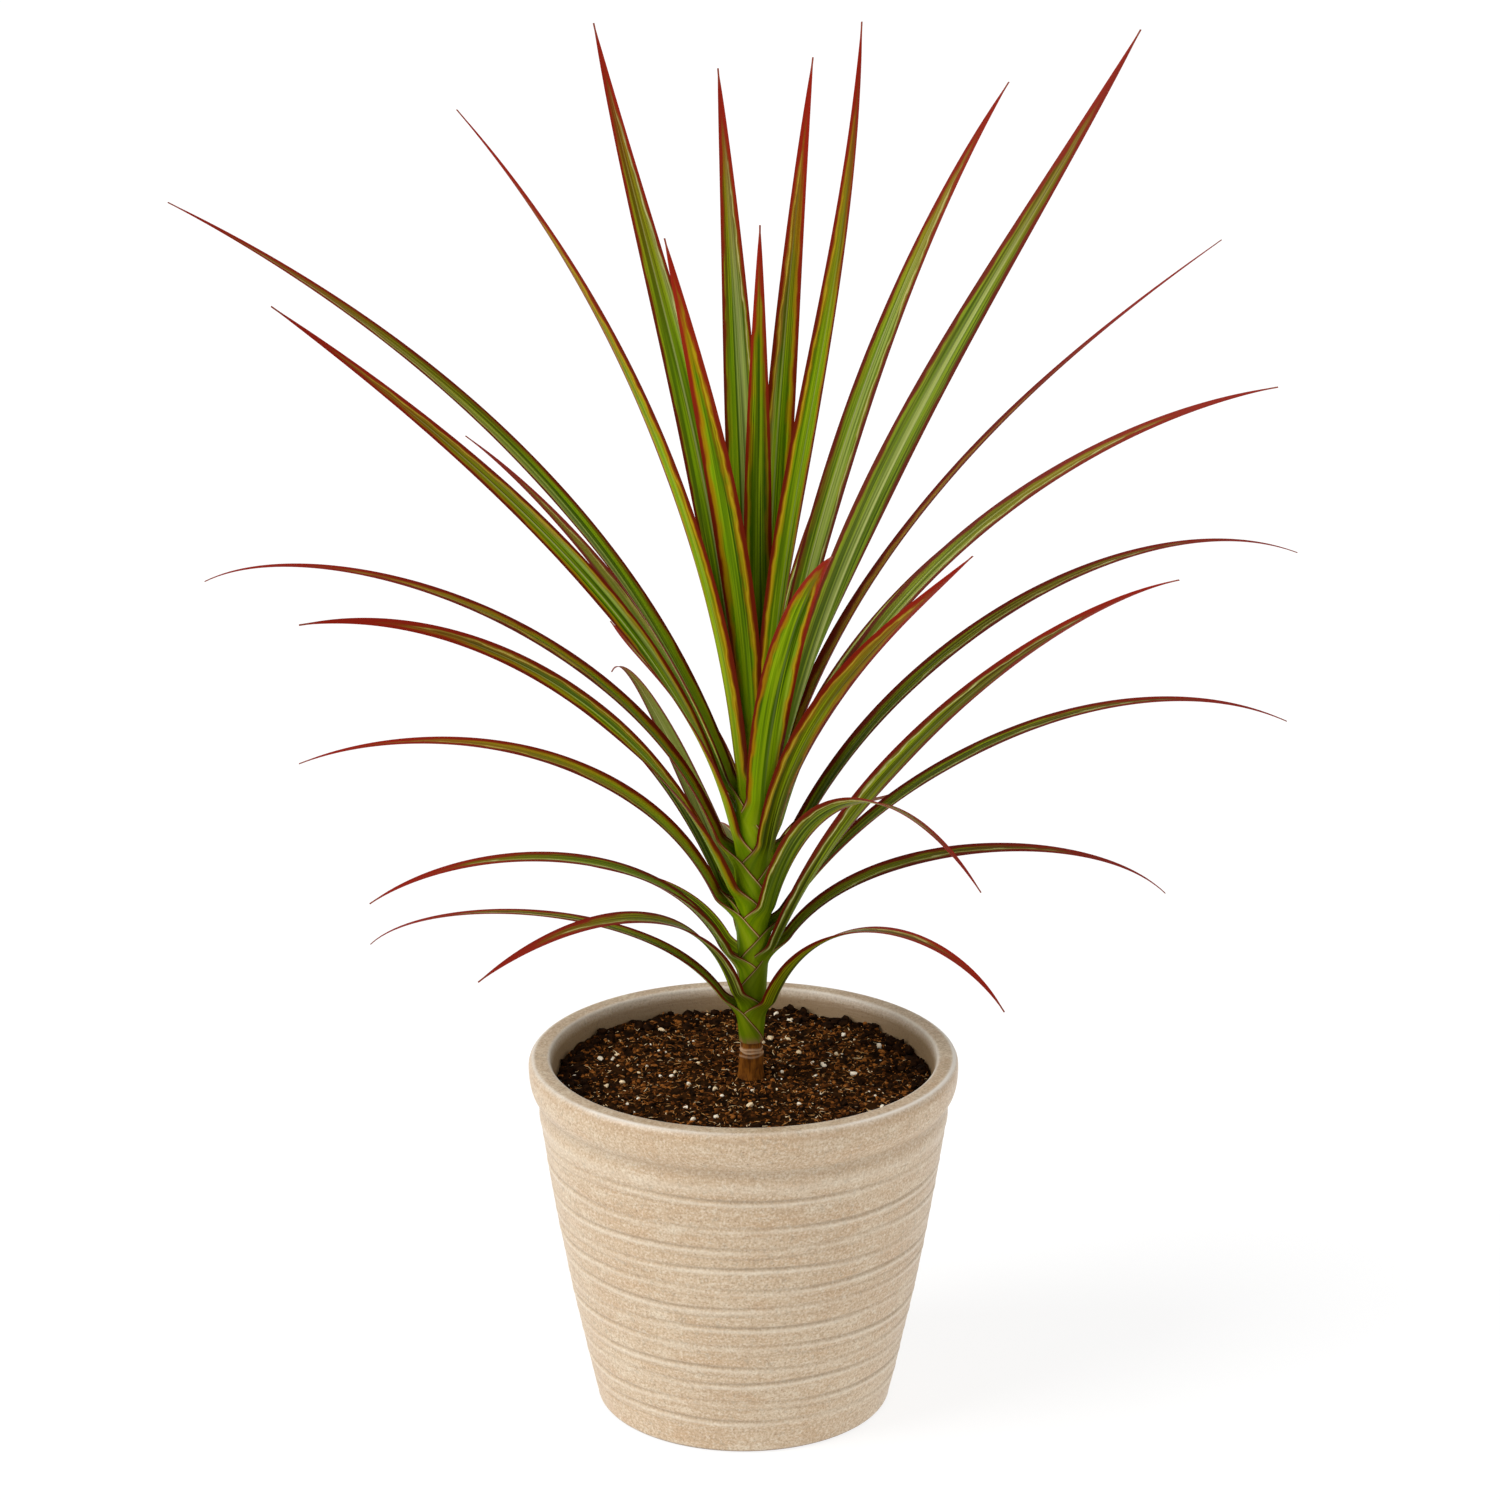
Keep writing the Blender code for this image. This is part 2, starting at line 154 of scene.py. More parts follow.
# One row a leaf, in the same order, for what only the looks need:
# - the height from which the sheath counts its layers, so that older sheaths lie outside younger ones
# - the height where the sheath's margins are a quarter turn round the stem from the rib
# - how fast the margins fall from there, in degrees for each millimetre
# - tone, from -1 for dark olive to 1 for bright yellow-green; for leaves 8, 18, 22 and 32 it is set higher,
#   partly as painted light for the light that shines through them
# - how grey the green is, or below 0 how yellow the blade is near its foot
# - where the painted sheen lies between the margins (-1 to 1), its half width and its strength: a pale stripe
#   of painted highlight
# - the strength of the pale stripe beside the rib, a painted highlight
# - the width of the red margin in millimetres and the strength of the amber inside it
# - how far the red reaches down from the tip, in millimetres
LEAF_LOOKS = (
    (160, 171.8, 8.0, -0.8, 0.05, 0.4, 0.3, 0.45, 0.1, 2.2, 0.3, 100),
    (157, 170.5, 8.0, -0.7, 0.1, 0.5, 0.25, 0.6, 0.1, 2.0, 0.1, 100),
    (164, 176.3, 8.5, -0.7, 0.1, 0.5, 0.3, 0.3, 0.1, 2.0, 0.2, 90),
    (169, 181.0, 8.0, -0.6, 0.1, 0.2, 0.3, 0.2, 0.1, 0.9, 0.2, 60),
    (173, 195.1, 7.5, -0.6, 0.1, -0.4, 0.25, 0.45, 0.1, 2.2, 0.1, 120),
    (178, 190.0, 8.0, -0.5, 0.1, 0.3, 0.3, 0.2, 0.1, 0.9, 0.2, 60),
    (180, 192.9, 8.5, -0.2, 0.1, 0.5, 0.3, 0.5, 0.1, 2.0, 0.1, 80),
    (193, 213.2, 7.0, 0.1, -0.6, 0.5, 0.3, 0.3, 0.1, 2.0, 0.7, 160),
    (190, 203.0, 7.0, -0.5, 0.1, -0.2, 0.3, 0.2, 0.1, 0.9, 0.2, 60),
    (189, 195.0, 7.5, -0.5, 0.05, -0.6, 0.25, 0.2, 0.2, 2.0, 0.1, 110),
    (198, 210.0, 7.0, -0.4, 0.1, 0.1, 0.3, 0.2, 0.1, 0.9, 0.2, 60),
    (201, 216.0, 7.0, -0.3, 0.1, 0.2, 0.3, 0.25, 0.1, 0.9, 0.2, 70),
    (203, 211.6, 6.0, -0.3, 0.1, -0.3, 0.3, 0.15, 0.1, 1.7, 0.3, 110),
    (184, 206.0, 7.5, -0.4, 0.1, -0.5, 0.25, 0.5, 0.1, 2.4, 0.1, 120),
    (212, 222.0, 6.5, -0.4, 1.0, 0.0, 0.3, 0.4, 0.5, 0.8, 0.0, 45),
    (213, 224.0, 6.5, -0.3, 0.1, 0.2, 0.3, 0.2, 0.1, 0.9, 0.2, 70),
    (216, 236.4, 6.0, 0.1, -0.3, 0.3, 0.3, 0.4, 0.2, 2.3, 0.8, 180),
    (210, 218.9, 6.0, -0.1, -0.4, -0.2, 0.3, 0.15, 0.4, 1.9, 0.7, 120),
    (220, 235.0, 6.0, -0.3, 0.1, -0.5, 0.3, 0.45, 0.2, 2.4, 0.1, 190),
    (223, 238.0, 6.0, -0.3, 0.1, 0.2, 0.3, 0.2, 0.1, 0.9, 0.2, 80),
    (225, 237.3, 5.5, -0.5, 0.0, -0.5, 0.2, 0.1, 0.1, 1.9, 0.9, 130),
    (233, 241.4, 5.5, 0.2, -0.7, -0.5, 0.3, 0.5, 0.6, 1.5, 0.9, 150),
    (238, 244.0, 5.5, -0.3, 0.35, -0.5, 0.3, 0.55, 0.5, 2.2, 0.1, 140),
    (231, 246.0, 5.5, -0.3, 0.2, 0.2, 0.3, 0.25, 0.1, 1.0, 0.2, 80),
    (238, 253.0, 5.5, -0.2, 0.2, -0.2, 0.3, 0.25, 0.1, 1.0, 0.2, 80),
    (241, 256.0, 5.5, -0.2, 0.2, 0.2, 0.3, 0.25, 0.1, 1.0, 0.2, 80),
    (253, 259.0, 5.0, 0.2, 0.3, -0.4, 0.35, 0.45, 0.2, 1.9, 0.5, 120),
    (248, 256.0, 5.0, 0.0, 0.0, 0.6, 0.2, 0.1, 0.1, 1.5, 1.0, 55),
    (251, 266.0, 5.0, -0.1, 0.2, 0.2, 0.3, 0.25, 0.1, 1.0, 0.2, 90),
    (257, 270.0, 5.0, 0.0, 0.0, -0.3, 0.2, 0.1, 0.1, 3.6, 1.0, 300),
    (261, 266.0, 4.5, 0.8, -0.6, 0.2, 0.3, 0.05, 0.1, 1.9, 1.0, 125),
    (243, 261.0, 5.0, 0.3, -0.4, 0.5, 0.35, 0.4, 0.5, 1.5, 0.4, 190),
    (265, 275.0, 4.5, 0.0, 0.3, 0.0, 0.35, 0.6, 0.6, 1.8, 0.1, 110),
    (264, 279.0, 4.5, 0.0, 0.2, 0.2, 0.3, 0.25, 0.1, 1.0, 0.2, 90),
    (270, 283.0, 4.5, 0.5, 0.05, -0.6, 0.35, 0.6, 0.4, 1.3, 0.1, 120),
    (274, 285.0, 4.5, 0.0, 0.22, -0.2, 0.45, 0.45, 0.5, 1.6, 0.3, 110),
    (279, 293.0, 4.5, 0.1, 0.0, 0.5, 0.3, 0.3, 0.3, 1.7, 0.9, 120),
    (283, 288.0, 4.5, 0.2, 0.0, 0.6, 0.2, 0.05, 0.0, 2.0, 1.0, 45),
    (287, 290.0, 4.5, 0.6, 0.0, -0.4, 0.4, 0.0, 0.2, 1.4, 1.0, 125),
    (292, 300.0, 4.5, 0.1, 0.05, -0.2, 0.45, 0.65, 0.2, 1.5, 0.3, 85),
    (296, 303.0, 4.5, -0.1, 0.0, 0.0, 0.2, 0.0, 0.0, 1.5, 0.5, 40),
)

LOOK_LABELS = ("tone", "grey", "sheen_place", "sheen_width", "sheen_strength", "midrib_highlight", "margin", "amber",
               "red_reach", "seed")

# The radius that the innermost sheaths keep to, at heights up the stem
SHEATH_CORE = (
    (143.0, 4.3), (158.0, 4.2), (175.0, 4.8), (196.0, 4.9), (221.0, 5.7), (252.0, 6.9), (275.0, 6.2),
    (300.0, 3.4), (330.0, 0.6),
)
SHEATH_FOOT_Z = 159.5
SHEATH_OVERRUN = 2.0
LAYER_RISE = 0.05
LAYER_START = 6.0
SHEATH_STANDOFF = 0.35
SHEATH_THICKNESS = 0.14
MARGIN_FLARE = 0.05
# Half turns of the sheaths: the far-side leaves' margins stay out of sight at the front
NARROWEST_WRAP = 12.0
FULL_WRAP = 176.0
BACK_WRAP = 80.0
BACK_FIRST = 40
BACK_LAST = 140
RIB_BULGE_ANGLE = 75.0
# Where the rib leaves the stem and where the blade opens, in degrees of the margins' fall round the stem
RIB_LEAVES_AT = 20.0
RIB_LEAVES_OVER = 80.0
BLADE_OPENS_AT = 10.0
BLADE_OPENS_OVER = 70.0
# Shares of the leaf's length: past these it is clear of the stem, no longer held to it, and fully open
FREE_SHARE = 0.3
HUG_SHARE = 0.45
OPEN_SHARE = 0.4
HUG_SOFTNESS = 0.2
NECK_WIDTH_SHARE = 0.86
NECK_SHARE = 0.30
NECK_CHANNEL = 0.50
TIP_CHANNEL = 0.10
CHANNEL_SHARE = 0.5
BLADE_THICKNESS = 0.75
FULL_SHARE = 0.12
THIN_FROM_SHARE = 0.35
TIP_THINNING = 0.50
EDGE_THINNING = 0.72
# Steps of the leaf's mesh
CURVE_STEPS = 400
SHEATH_PITCH = 0.7
FINE_PITCH = 1.2
FINE_REACH = 60.0
STATION_PITCH = 3.0
ACROSS_STEPS = 18
LEAF_SHARP_ANGLE = 50.0
# The leaf's looks: the length that counts as one along the blade, the seed's step from leaf to leaf, and
# the papery feet of the lowest leaves
ALONG_UNIT = 250.0
SEED_STEP = 7.3
PAPER_TOP_Z = 163.5
PAPER_FADE = 5.0
PAPER_LEAVES = 3

# Steps of the pot's mesh
AXIS_RADIUS = 0.5
BASE_FLAT_RADIUS = 30.0
ROUNDING_STEPS = 6
WALL_FIRST_Z = 5.0
WALL_LAST_Z = 135.0
WALL_PITCH = 0.5
LIP_STEPS = 4
INNER_FIRST_Z = 149.0
INNER_FINE_TO_Z = 138.0
INNER_FINE_PITCH = 2.0
INNER_PITCH = 12.0
# The soft ridge under each groove, the lesser groove under that, and the shoulder under the cove
CREST_DROP = 1.7
CREST_HALF_WIDTH = 0.8
CREST_HEIGHT = 0.16
LESSER_DROP = 4.2
LESSER_HALF_WIDTH = 0.5
LESSER_SHARE = 0.6
COVE_HALF_WIDTH = 2.6
SHOULDER_DROP = 6.5
SHOULDER_HALF_WIDTH = 2.4
SHOULDER_HEIGHT = 0.3
WALL_WAVES = 0.22
# Painted highlights along the rim's outer and inner edges, and stains under the rim and at the soil
RIM_LINES_FROM_Z = 151.0
OUTER_LINE_RADIUS = 88.3
INNER_LINE_RADIUS = 81.4
LINE_HALF_WIDTH = 0.8
STAIN_Z = 150.6
STAIN_HALF_WIDTH = 1.3
SOIL_STAIN_HALF_WIDTH = 3.0

# The soil's bed and what lies on it
BED_RINGS = 110
BED_SIDES = 220
BED_BASE_Z = 30.0
BED_CLEARANCE = 0.6
SCATTER_SEED = 11
SCATTER_REACH = 77.5
TRUNK_BERTH = 6.6
BIT_SHARP_ANGLE = 55.0
CRUMBS = 5200
CLODS = 380
FIBRES = 3400
PERLITE_GRAINS = 190
CLOD_SPREAD = 0.07

# The stem's mesh and the papery rings round its foot: height and strength
STEM_SIDES = 40
BARK_TOP_Z = 170.0
BARK_PITCH = 0.45
CORE_PITCH = 6.0
PAPER_RINGS = ((153.2, 0.5), (155.0, 1.0), (156.8, 0.9))
RING_HALF_WIDTH = 0.4
RING_HEIGHT = 0.3

FLOOR_REACH = 30.0


def ease(share):
    share = np.clip(share, 0.0, 1.0)
    return share * share * (3.0 - 2.0 * share)


def smooth_larger(first, second, softness):
    """The larger of two values, with a rounded change from one to the other."""
    return 0.5 * (first + second) + np.sqrt(0.25 * (first - second) ** 2 + softness * softness)


def trunk_axis_x(height):
    share = (height - TRUNK_FOOT_Z) / (TRUNK_TOP_Z - TRUNK_FOOT_Z)
    return TRUNK_FOOT_X + (TRUNK_TOP_X - TRUNK_FOOT_X) * share


def read_rows(rows, value):
    """A value read from rows of two numbers, with straight lines between the rows."""
    return np.interp(value, *zip(*rows))


def bell(offset, width):
    """1 where the offset is nothing, falling to nothing a few widths away."""
    return math.exp(-(offset / width) ** 2)


def wave(x, y, z):
    """Smooth noise at a place, between about -1 and 1."""
    return noise.noise(Vector((x, y, z)))


def ring_point(radius, angle, height):
    return (radius * math.cos(angle) * MM, radius * math.sin(angle) * MM, height * MM)


def build_object(name, points, faces, materials, sharp_angle=180.0, face_materials=None):
    mesh = bpy.data.meshes.new(name)
    mesh.from_pydata([tuple(point) for point in points], [], faces)
    for material in materials:
        mesh.materials.append(material)
    if face_materials is not None:
        mesh.polygons.foreach_set("material_index", face_materials)
    mesh.shade_smooth()
    if sharp_angle < 180.0:
        mesh.set_sharp_from_angle(angle=math.radians(sharp_angle))
    item = bpy.data.objects.new(name, mesh)
    bpy.context.scene.collection.objects.link(item)
    return item


def add_values(item, name, values):
    attribute = item.data.attributes.new(name, "FLOAT", "POINT")
    attribute.data.foreach_set("value", np.asarray(values, dtype=np.float32))


class Look:
    """A material's node tree, with short calls for the nodes that it is made of."""

    def __init__(self, name):
        self.material = bpy.data.materials.new(name)
        self.material.use_nodes = True
        self.nodes = self.material.node_tree.nodes
        self.links = self.material.node_tree.links
        self.shader = self.nodes["Principled BSDF"]

    def join(self, value, socket):
        if isinstance(value, (int, float)):
            socket.default_value = value
        elif isinstance(value, tuple):
            socket.default_value = (*value, 1.0) if len(value) == 3 and socket.type == "RGBA" else value
        else:
            self.links.new(value, socket)

    def fill(self, node, values):
        """Sets or links a node's inputs, and gives the node back."""
        for socket, value in values.items():
            self.join(value, node.inputs[socket])
        return node

    def values(self, name):
        node = self.nodes.new("ShaderNodeAttribute")
        node.attribute_name = name
        return node.outputs["Fac"]

    def place(self):
        return self.nodes.new("ShaderNodeTexCoord").outputs["Object"]

    def split(self, vector):
        return self.fill(self.nodes.new("ShaderNodeSeparateXYZ"), {0: vector}).outputs

    def combine(self, x, y, z):
        return self.fill(self.nodes.new("ShaderNodeCombineXYZ"), {0: x, 1: y, 2: z}).outputs[0]

    def maths(self, operation, first, second=0.0):
        node = self.nodes.new("ShaderNodeMath")
        node.operation = operation
        return self.fill(node, {0: first, 1: second}).outputs[0]

    def times(self, first, second):
        return self.maths("MULTIPLY", first, second)

    def gap(self, first, second):
        return self.maths("ABSOLUTE", self.maths("SUBTRACT", first, second))

    def remap(self, value, low, high, to_low=0.0, to_high=1.0):
        """A value between low and high, eased and clamped to the new range."""
        node = self.nodes.new("ShaderNodeMapRange")
        node.interpolation_type = "SMOOTHSTEP"
        ends = {"From Min": low, "From Max": high, "To Min": to_low, "To Max": to_high}
        return self.fill(node, {"Value": value, **ends}).outputs[0]

    def noise(self, vector, scale, detail=2.0, roughness=0.5):
        node = self.nodes.new("ShaderNodeTexNoise")
        settings = {"Vector": vector, "Scale": scale, "Detail": detail, "Roughness": roughness}
        return self.fill(node, settings).outputs["Fac"]

    def mix(self, share, first, second, blend="MIX"):
        node = self.nodes.new("ShaderNodeMix")
        node.data_type = "RGBA"
        node.blend_type = blend
        return self.fill(node, {0: share, 6: first, 7: second}).outputs[2]

    def marks(self, colour, rows):
        """Lays marks on a colour. A row: pattern, where the mark starts and is full, strength, tint."""
        for pattern, start, full, strength, tint in rows:
            colour = self.mix(self.remap(pattern, start, full, 0.0, strength), colour, tint)
        return colour

    def bump(self, height, strength, distance):
        node = self.nodes.new("ShaderNodeBump")
        self.fill(node, {"Strength": strength, "Distance": distance, "Height": height})
        self.join(node.outputs[0], self.shader.inputs["Normal"])

    def colour(self, value):
        self.join(value, self.shader.inputs["Base Color"])

    def roughness(self, value):
        self.join(value, self.shader.inputs["Roughness"])

    def specular(self, level):
        self.shader.inputs["Specular IOR Level"].default_value = level


def leaf_look():
    """Blade and sheath: green stripes, a pale stripe of painted sheen, a pale painted highlight beside the
    rib, and a red margin that widens to the tip, with a pale painted highlight inside it on one side.
    """
    look = Look("leaf_blade")
    labels = ("across", "along", "edge_mm", "tip_mm", "tone", "sheath", "seed", "red_reach")
    across, along, edge, tip, tone, sheath, seed, reach = (look.values(label) for label in labels)
    middle = look.maths("ABSOLUTE", across)
    stripes = look.noise(look.combine(look.times(across, 3.2), look.times(along, 1.6), seed), 1.0, 1.0)
    veins = look.noise(look.combine(look.times(across, 8.5), look.times(along, 3.0), seed), 1.0, 1.0)
    green = look.mix(look.remap(tone, -0.8, 0.1), (0.080, 0.062, 0.001), (0.090, 0.172, 0.001))
    green = look.mix(look.remap(tone, 0.1, 0.8), green, (0.22, 0.32, 0.001))
    dark = look.mix(1.0, green, (0.42, 0.50, 0.30), "MULTIPLY")
    sunny = look.mix(look.remap(tone, -0.3, 0.2), (0.27, 0.33, 0.002), (0.22, 0.40, 0.001))
    light = look.mix(look.remap(tone, -0.6, 0.1, 0.3, 0.6), green, sunny)
    body = look.mix(look.remap(stripes, 0.40, 0.59), dark, light)
    body = look.marks(body, (
        (middle, 0.35, 0.05, 0.45, dark),
        (veins, 0.52, 0.66, 0.65, (0.31, 0.43, 0.006)),
        (veins, 0.47, 0.34, 0.65, dark),
    ))
    near_base = look.times(look.remap(along, 0.02, 0.32, 0.75, 0.0), look.remap(tone, -0.5, 0.2))
    fresh = look.mix(look.remap(stripes, 0.4, 0.6), (0.14, 0.26, 0.001), (0.25, 0.40, 0.002))
    body = look.mix(near_base, body, fresh)
    shade = look.values("grey")
    yellow = look.times(look.remap(shade, 0.0, -1.0), look.remap(along, 0.5, 0.05))
    straw = look.mix(look.remap(veins, 0.35, 0.6), (0.30, 0.42, 0.004), (0.48, 0.56, 0.03))
    body = look.mix(yellow, body, straw)
    grey = look.times(look.maths("MAXIMUM", shade, 0.0), look.remap(along, 0.0, 0.3))
    body = look.mix(look.times(grey, look.remap(veins, 0.30, 0.62, 0.35, 1.0)), body, (0.26, 0.29, 0.06))
    # Painted sheen: a pale stripe of painted highlight along the blade, where the leaf's gloss catches the
    # light
    sheen = look.remap(look.gap(across, look.values("sheen_place")), look.values("sheen_width"), 0.0)
    sheen = look.times(sheen, look.values("sheen_strength"))
    sheen = look.times(sheen, look.remap(veins, 0.35, 0.6, 0.35, 1.0))
    sheen = look.times(sheen, look.remap(along, 0.05, 0.35, 0.35, 1.0))
    body = look.mix(sheen, body, (0.48, 0.53, 0.16))
    # Painted highlight: a pale stripe just beside the rib
    rib_highlight = look.remap(look.gap(across, 0.12), 0.09, 0.02)
    rib_highlight = look.times(rib_highlight, look.values("midrib_highlight"))
    rib_highlight = look.times(rib_highlight, look.remap(along, 0.05, 0.2))
    body = look.mix(rib_highlight, body, (0.54, 0.58, 0.20))
    margin = look.values("margin")
    wander = look.noise(look.combine(across, look.times(along, 9.0), seed), 2.0)
    margin = look.times(margin, look.remap(wander, 0.3, 0.7, 0.8, 1.25))
    margin = look.times(margin, look.remap(along, 0.05, 0.35, look.remap(tone, -0.4, -0.1, 0.55, 1.0), 1.0))
    amber = look.remap(edge, look.times(margin, 2.2), look.times(margin, 0.9))
    amber = look.times(amber, look.values("amber"))
    body = look.mix(look.times(amber, 0.85), body, (0.40, 0.17, 0.001))
    rust = look.remap(tip, look.times(reach, 1.2), look.times(reach, 0.4), 0.0, 0.6)
    rusty = look.mix(look.remap(stripes, 0.4, 0.6), (0.14, 0.030, 0.002), (0.25, 0.105, 0.010))
    body = look.mix(rust, body, rusty)
    ember = look.remap(tip, look.times(reach, 0.6), look.times(reach, 0.1), 0.0, 0.9)
    body = look.mix(ember, body, (0.21, 0.020, 0.005))
    # Painted highlight: a pale stripe just inside the red margin, on the side of the painted sheen, where
    # light catches the edge
    one_side = look.remap(look.times(across, look.values("sheen_place")), 0.0, 0.05)
    margin_highlight = look.remap(look.gap(edge, look.maths("ADD", margin, 0.35)), 0.40, 0.10)
    margin_highlight = look.times(look.times(margin_highlight, one_side), look.remap(wander, 0.25, 0.6, 0.25, 0.85))
    margin_highlight = look.times(margin_highlight, look.remap(tip, 20.0, 60.0))
    body = look.mix(margin_highlight, body, look.mix(look.values("amber"), (0.56, 0.56, 0.24), (0.47, 0.33, 0.010)))
    red = look.remap(edge, look.times(margin, 1.15), look.times(margin, 0.6))
    red_colour = look.mix(look.remap(tip, 20.0, 140.0), (0.28, 0.013, 0.005), (0.135, 0.005, 0.002))
    red_colour = look.mix(look.remap(along, 0.35, 0.0, 0.0, 0.8), red_colour, (0.085, 0.006, 0.002))
    red_colour = look.mix(look.times(grey, 0.6), red_colour, (0.20, 0.070, 0.058))
    blade = look.mix(look.times(red, 0.96), body, red_colour)
    blade = look.mix(look.remap(tip, 9.0, 1.0, 0.0, 0.7), blade, (0.27, 0.075, 0.040))
    wrap = look.mix(look.remap(stripes, 0.35, 0.65), (0.150, 0.255, 0.001), (0.260, 0.370, 0.002))
    wrap = look.marks(wrap, (
        (veins, 0.45, 0.70, 0.4, (0.33, 0.42, 0.02)),
        (edge, 2.6, 1.2, 0.5, (0.19, 0.16, 0.02)),
        (edge, 1.15, 0.8, 0.9, (0.62, 0.42, 0.20)),
        (edge, 0.60, 0.42, 1.0, (0.150, 0.020, 0.004)),
        (tone, -0.1, -0.6, 0.5, dark),
    ))
    whole = look.mix(look.remap(sheath, 0.0, 1.0), blade, wrap)
    paper = look.times(look.values("paper"), look.remap(veins, 0.35, 0.60, 0.40, 1.0))
    whole = look.mix(paper, whole, (0.27, 0.125, 0.062))
    look.colour(whole)
    look.roughness(look.remap(stripes, 0.3, 0.7, 0.36, 0.48))
    look.specular(LEAF_SPECULAR)
    look.bump(veins, 0.25, 0.0004)
    return look.material


def stoneware_look():
    look = Look("stoneware_glaze")
    place = look.place()
    x, y, z = look.split(place)
    level = look.combine(x, y, look.times(z, 3.0))
    patches = look.noise(place, 20.0, 3.0, 0.55)
    bands = look.noise(level, 55.0, 4.0, 0.62)
    streaks = look.noise(place, 330.0, 2.0, 0.6)
    turning = look.noise(look.combine(look.times(x, 0.14), look.times(y, 0.14), z), 900.0, 2.0, 0.6)
    grain = look.noise(place, 1000.0, 2.0, 0.6)
    specks = look.noise(place, 1100.0, 1.0, 0.5)
    colour = look.mix(look.remap(patches, 0.38, 0.62), (0.553, 0.400, 0.252), (0.592, 0.446, 0.293))
    colour = look.marks(colour, (
        (bands, 0.48, 0.70, 0.6, (0.680, 0.565, 0.415)),
        (bands, 0.48, 0.30, 0.5, (0.545, 0.355, 0.195)),
        (streaks, 0.42, 0.30, 0.5, (0.40, 0.315, 0.215)),
        (streaks, 0.58, 0.72, 0.4, (0.72, 0.64, 0.50)),
        (turning, 0.46, 0.32, 0.20, (0.42, 0.315, 0.200)),
        (turning, 0.54, 0.68, 0.22, (0.80, 0.70, 0.55)),
        (grain, 0.50, 0.34, 0.55, (0.36, 0.230, 0.125)),
        (grain, 0.52, 0.68, 0.40, (0.86, 0.76, 0.61)),
        (specks, 0.34, 0.24, 0.6, (0.24, 0.13, 0.06)),
    ))
    # Painted shade: darker in the grooves and in the cove under the lip
    colour = look.mix(look.times(look.values("groove"), 0.5), colour, (0.31, 0.235, 0.155))
    # Painted highlight: paler on the crests under the grooves and on the shoulder under the cove
    colour = look.mix(look.times(look.values("crest"), 0.50), colour, (0.78, 0.69, 0.55))
    stain = look.times(look.values("stain"), look.remap(bands, 0.35, 0.65))
    colour = look.mix(stain, colour, (0.42, 0.25, 0.12))
    # Painted highlights: pale lines along the rim's outer and inner edges
    colour = look.mix(look.values("rim_highlight"), colour, (0.90, 0.84, 0.75))
    # Painted shade: darker at the very foot, for the contact shadow on the floor
    colour = look.mix(look.values("foot"), colour, (0.17, 0.10, 0.055))
    inside = look.values("inside")
    colour = look.mix(look.times(inside, 0.9), colour, (0.30, 0.192, 0.098))
    soiled = look.times(inside, look.remap(specks, 0.36, 0.28, 0.0, 0.7))
    colour = look.mix(soiled, colour, (0.20, 0.13, 0.07))
    look.colour(colour)
    look.roughness(look.remap(bands, 0.3, 0.7, 0.34, 0.52))
    look.bump(look.maths("ADD", grain, look.times(turning, 2.0)), 0.3, 0.0003)
    return look.material


def bark_look():
    look = Look("stem_bark")
    x, y, z = look.split(look.place())
    streaks = look.noise(look.combine(look.times(x, 6.0), look.times(y, 6.0), z), 90.0, 4.0, 0.65)
    blotches = look.noise(look.place(), 230.0, 3.0, 0.6)
    colour = look.mix(look.remap(streaks, 0.35, 0.65), (0.085, 0.024, 0.002), (0.235, 0.078, 0.008))
    colour = look.mix(look.remap(blotches, 0.50, 0.72, 0.0, 0.8), colour, (0.055, 0.016, 0.004))
    colour = look.mix(look.values("ring"), colour, (0.56, 0.36, 0.21))
    look.colour(colour)
    look.roughness(look.remap(streaks, 0.3, 0.7, 0.6, 0.8))
    look.specular(BARK_SPECULAR)
    look.bump(streaks, 0.5, 0.0006)
    return look.material


def plain_look(name, colour, shade, roughness, scale, bump_distance):
    """One base colour with a fine change of shade, for small loose things."""
    look = Look(name)
    grain = look.noise(look.place(), scale, 3.0, 0.6)
    look.colour(look.mix(look.remap(grain, 0.35, 0.65), colour, shade))
    look.roughness(look.remap(grain, 0.3, 0.7, roughness, min(1.0, roughness + 0.1)))
    look.specular(SOIL_SPECULAR)
    look.bump(grain, 0.4, bump_distance)
    return look.material


def slope_way(slope):
    return np.array([math.cos(math.radians(slope)), math.sin(math.radians(slope))])


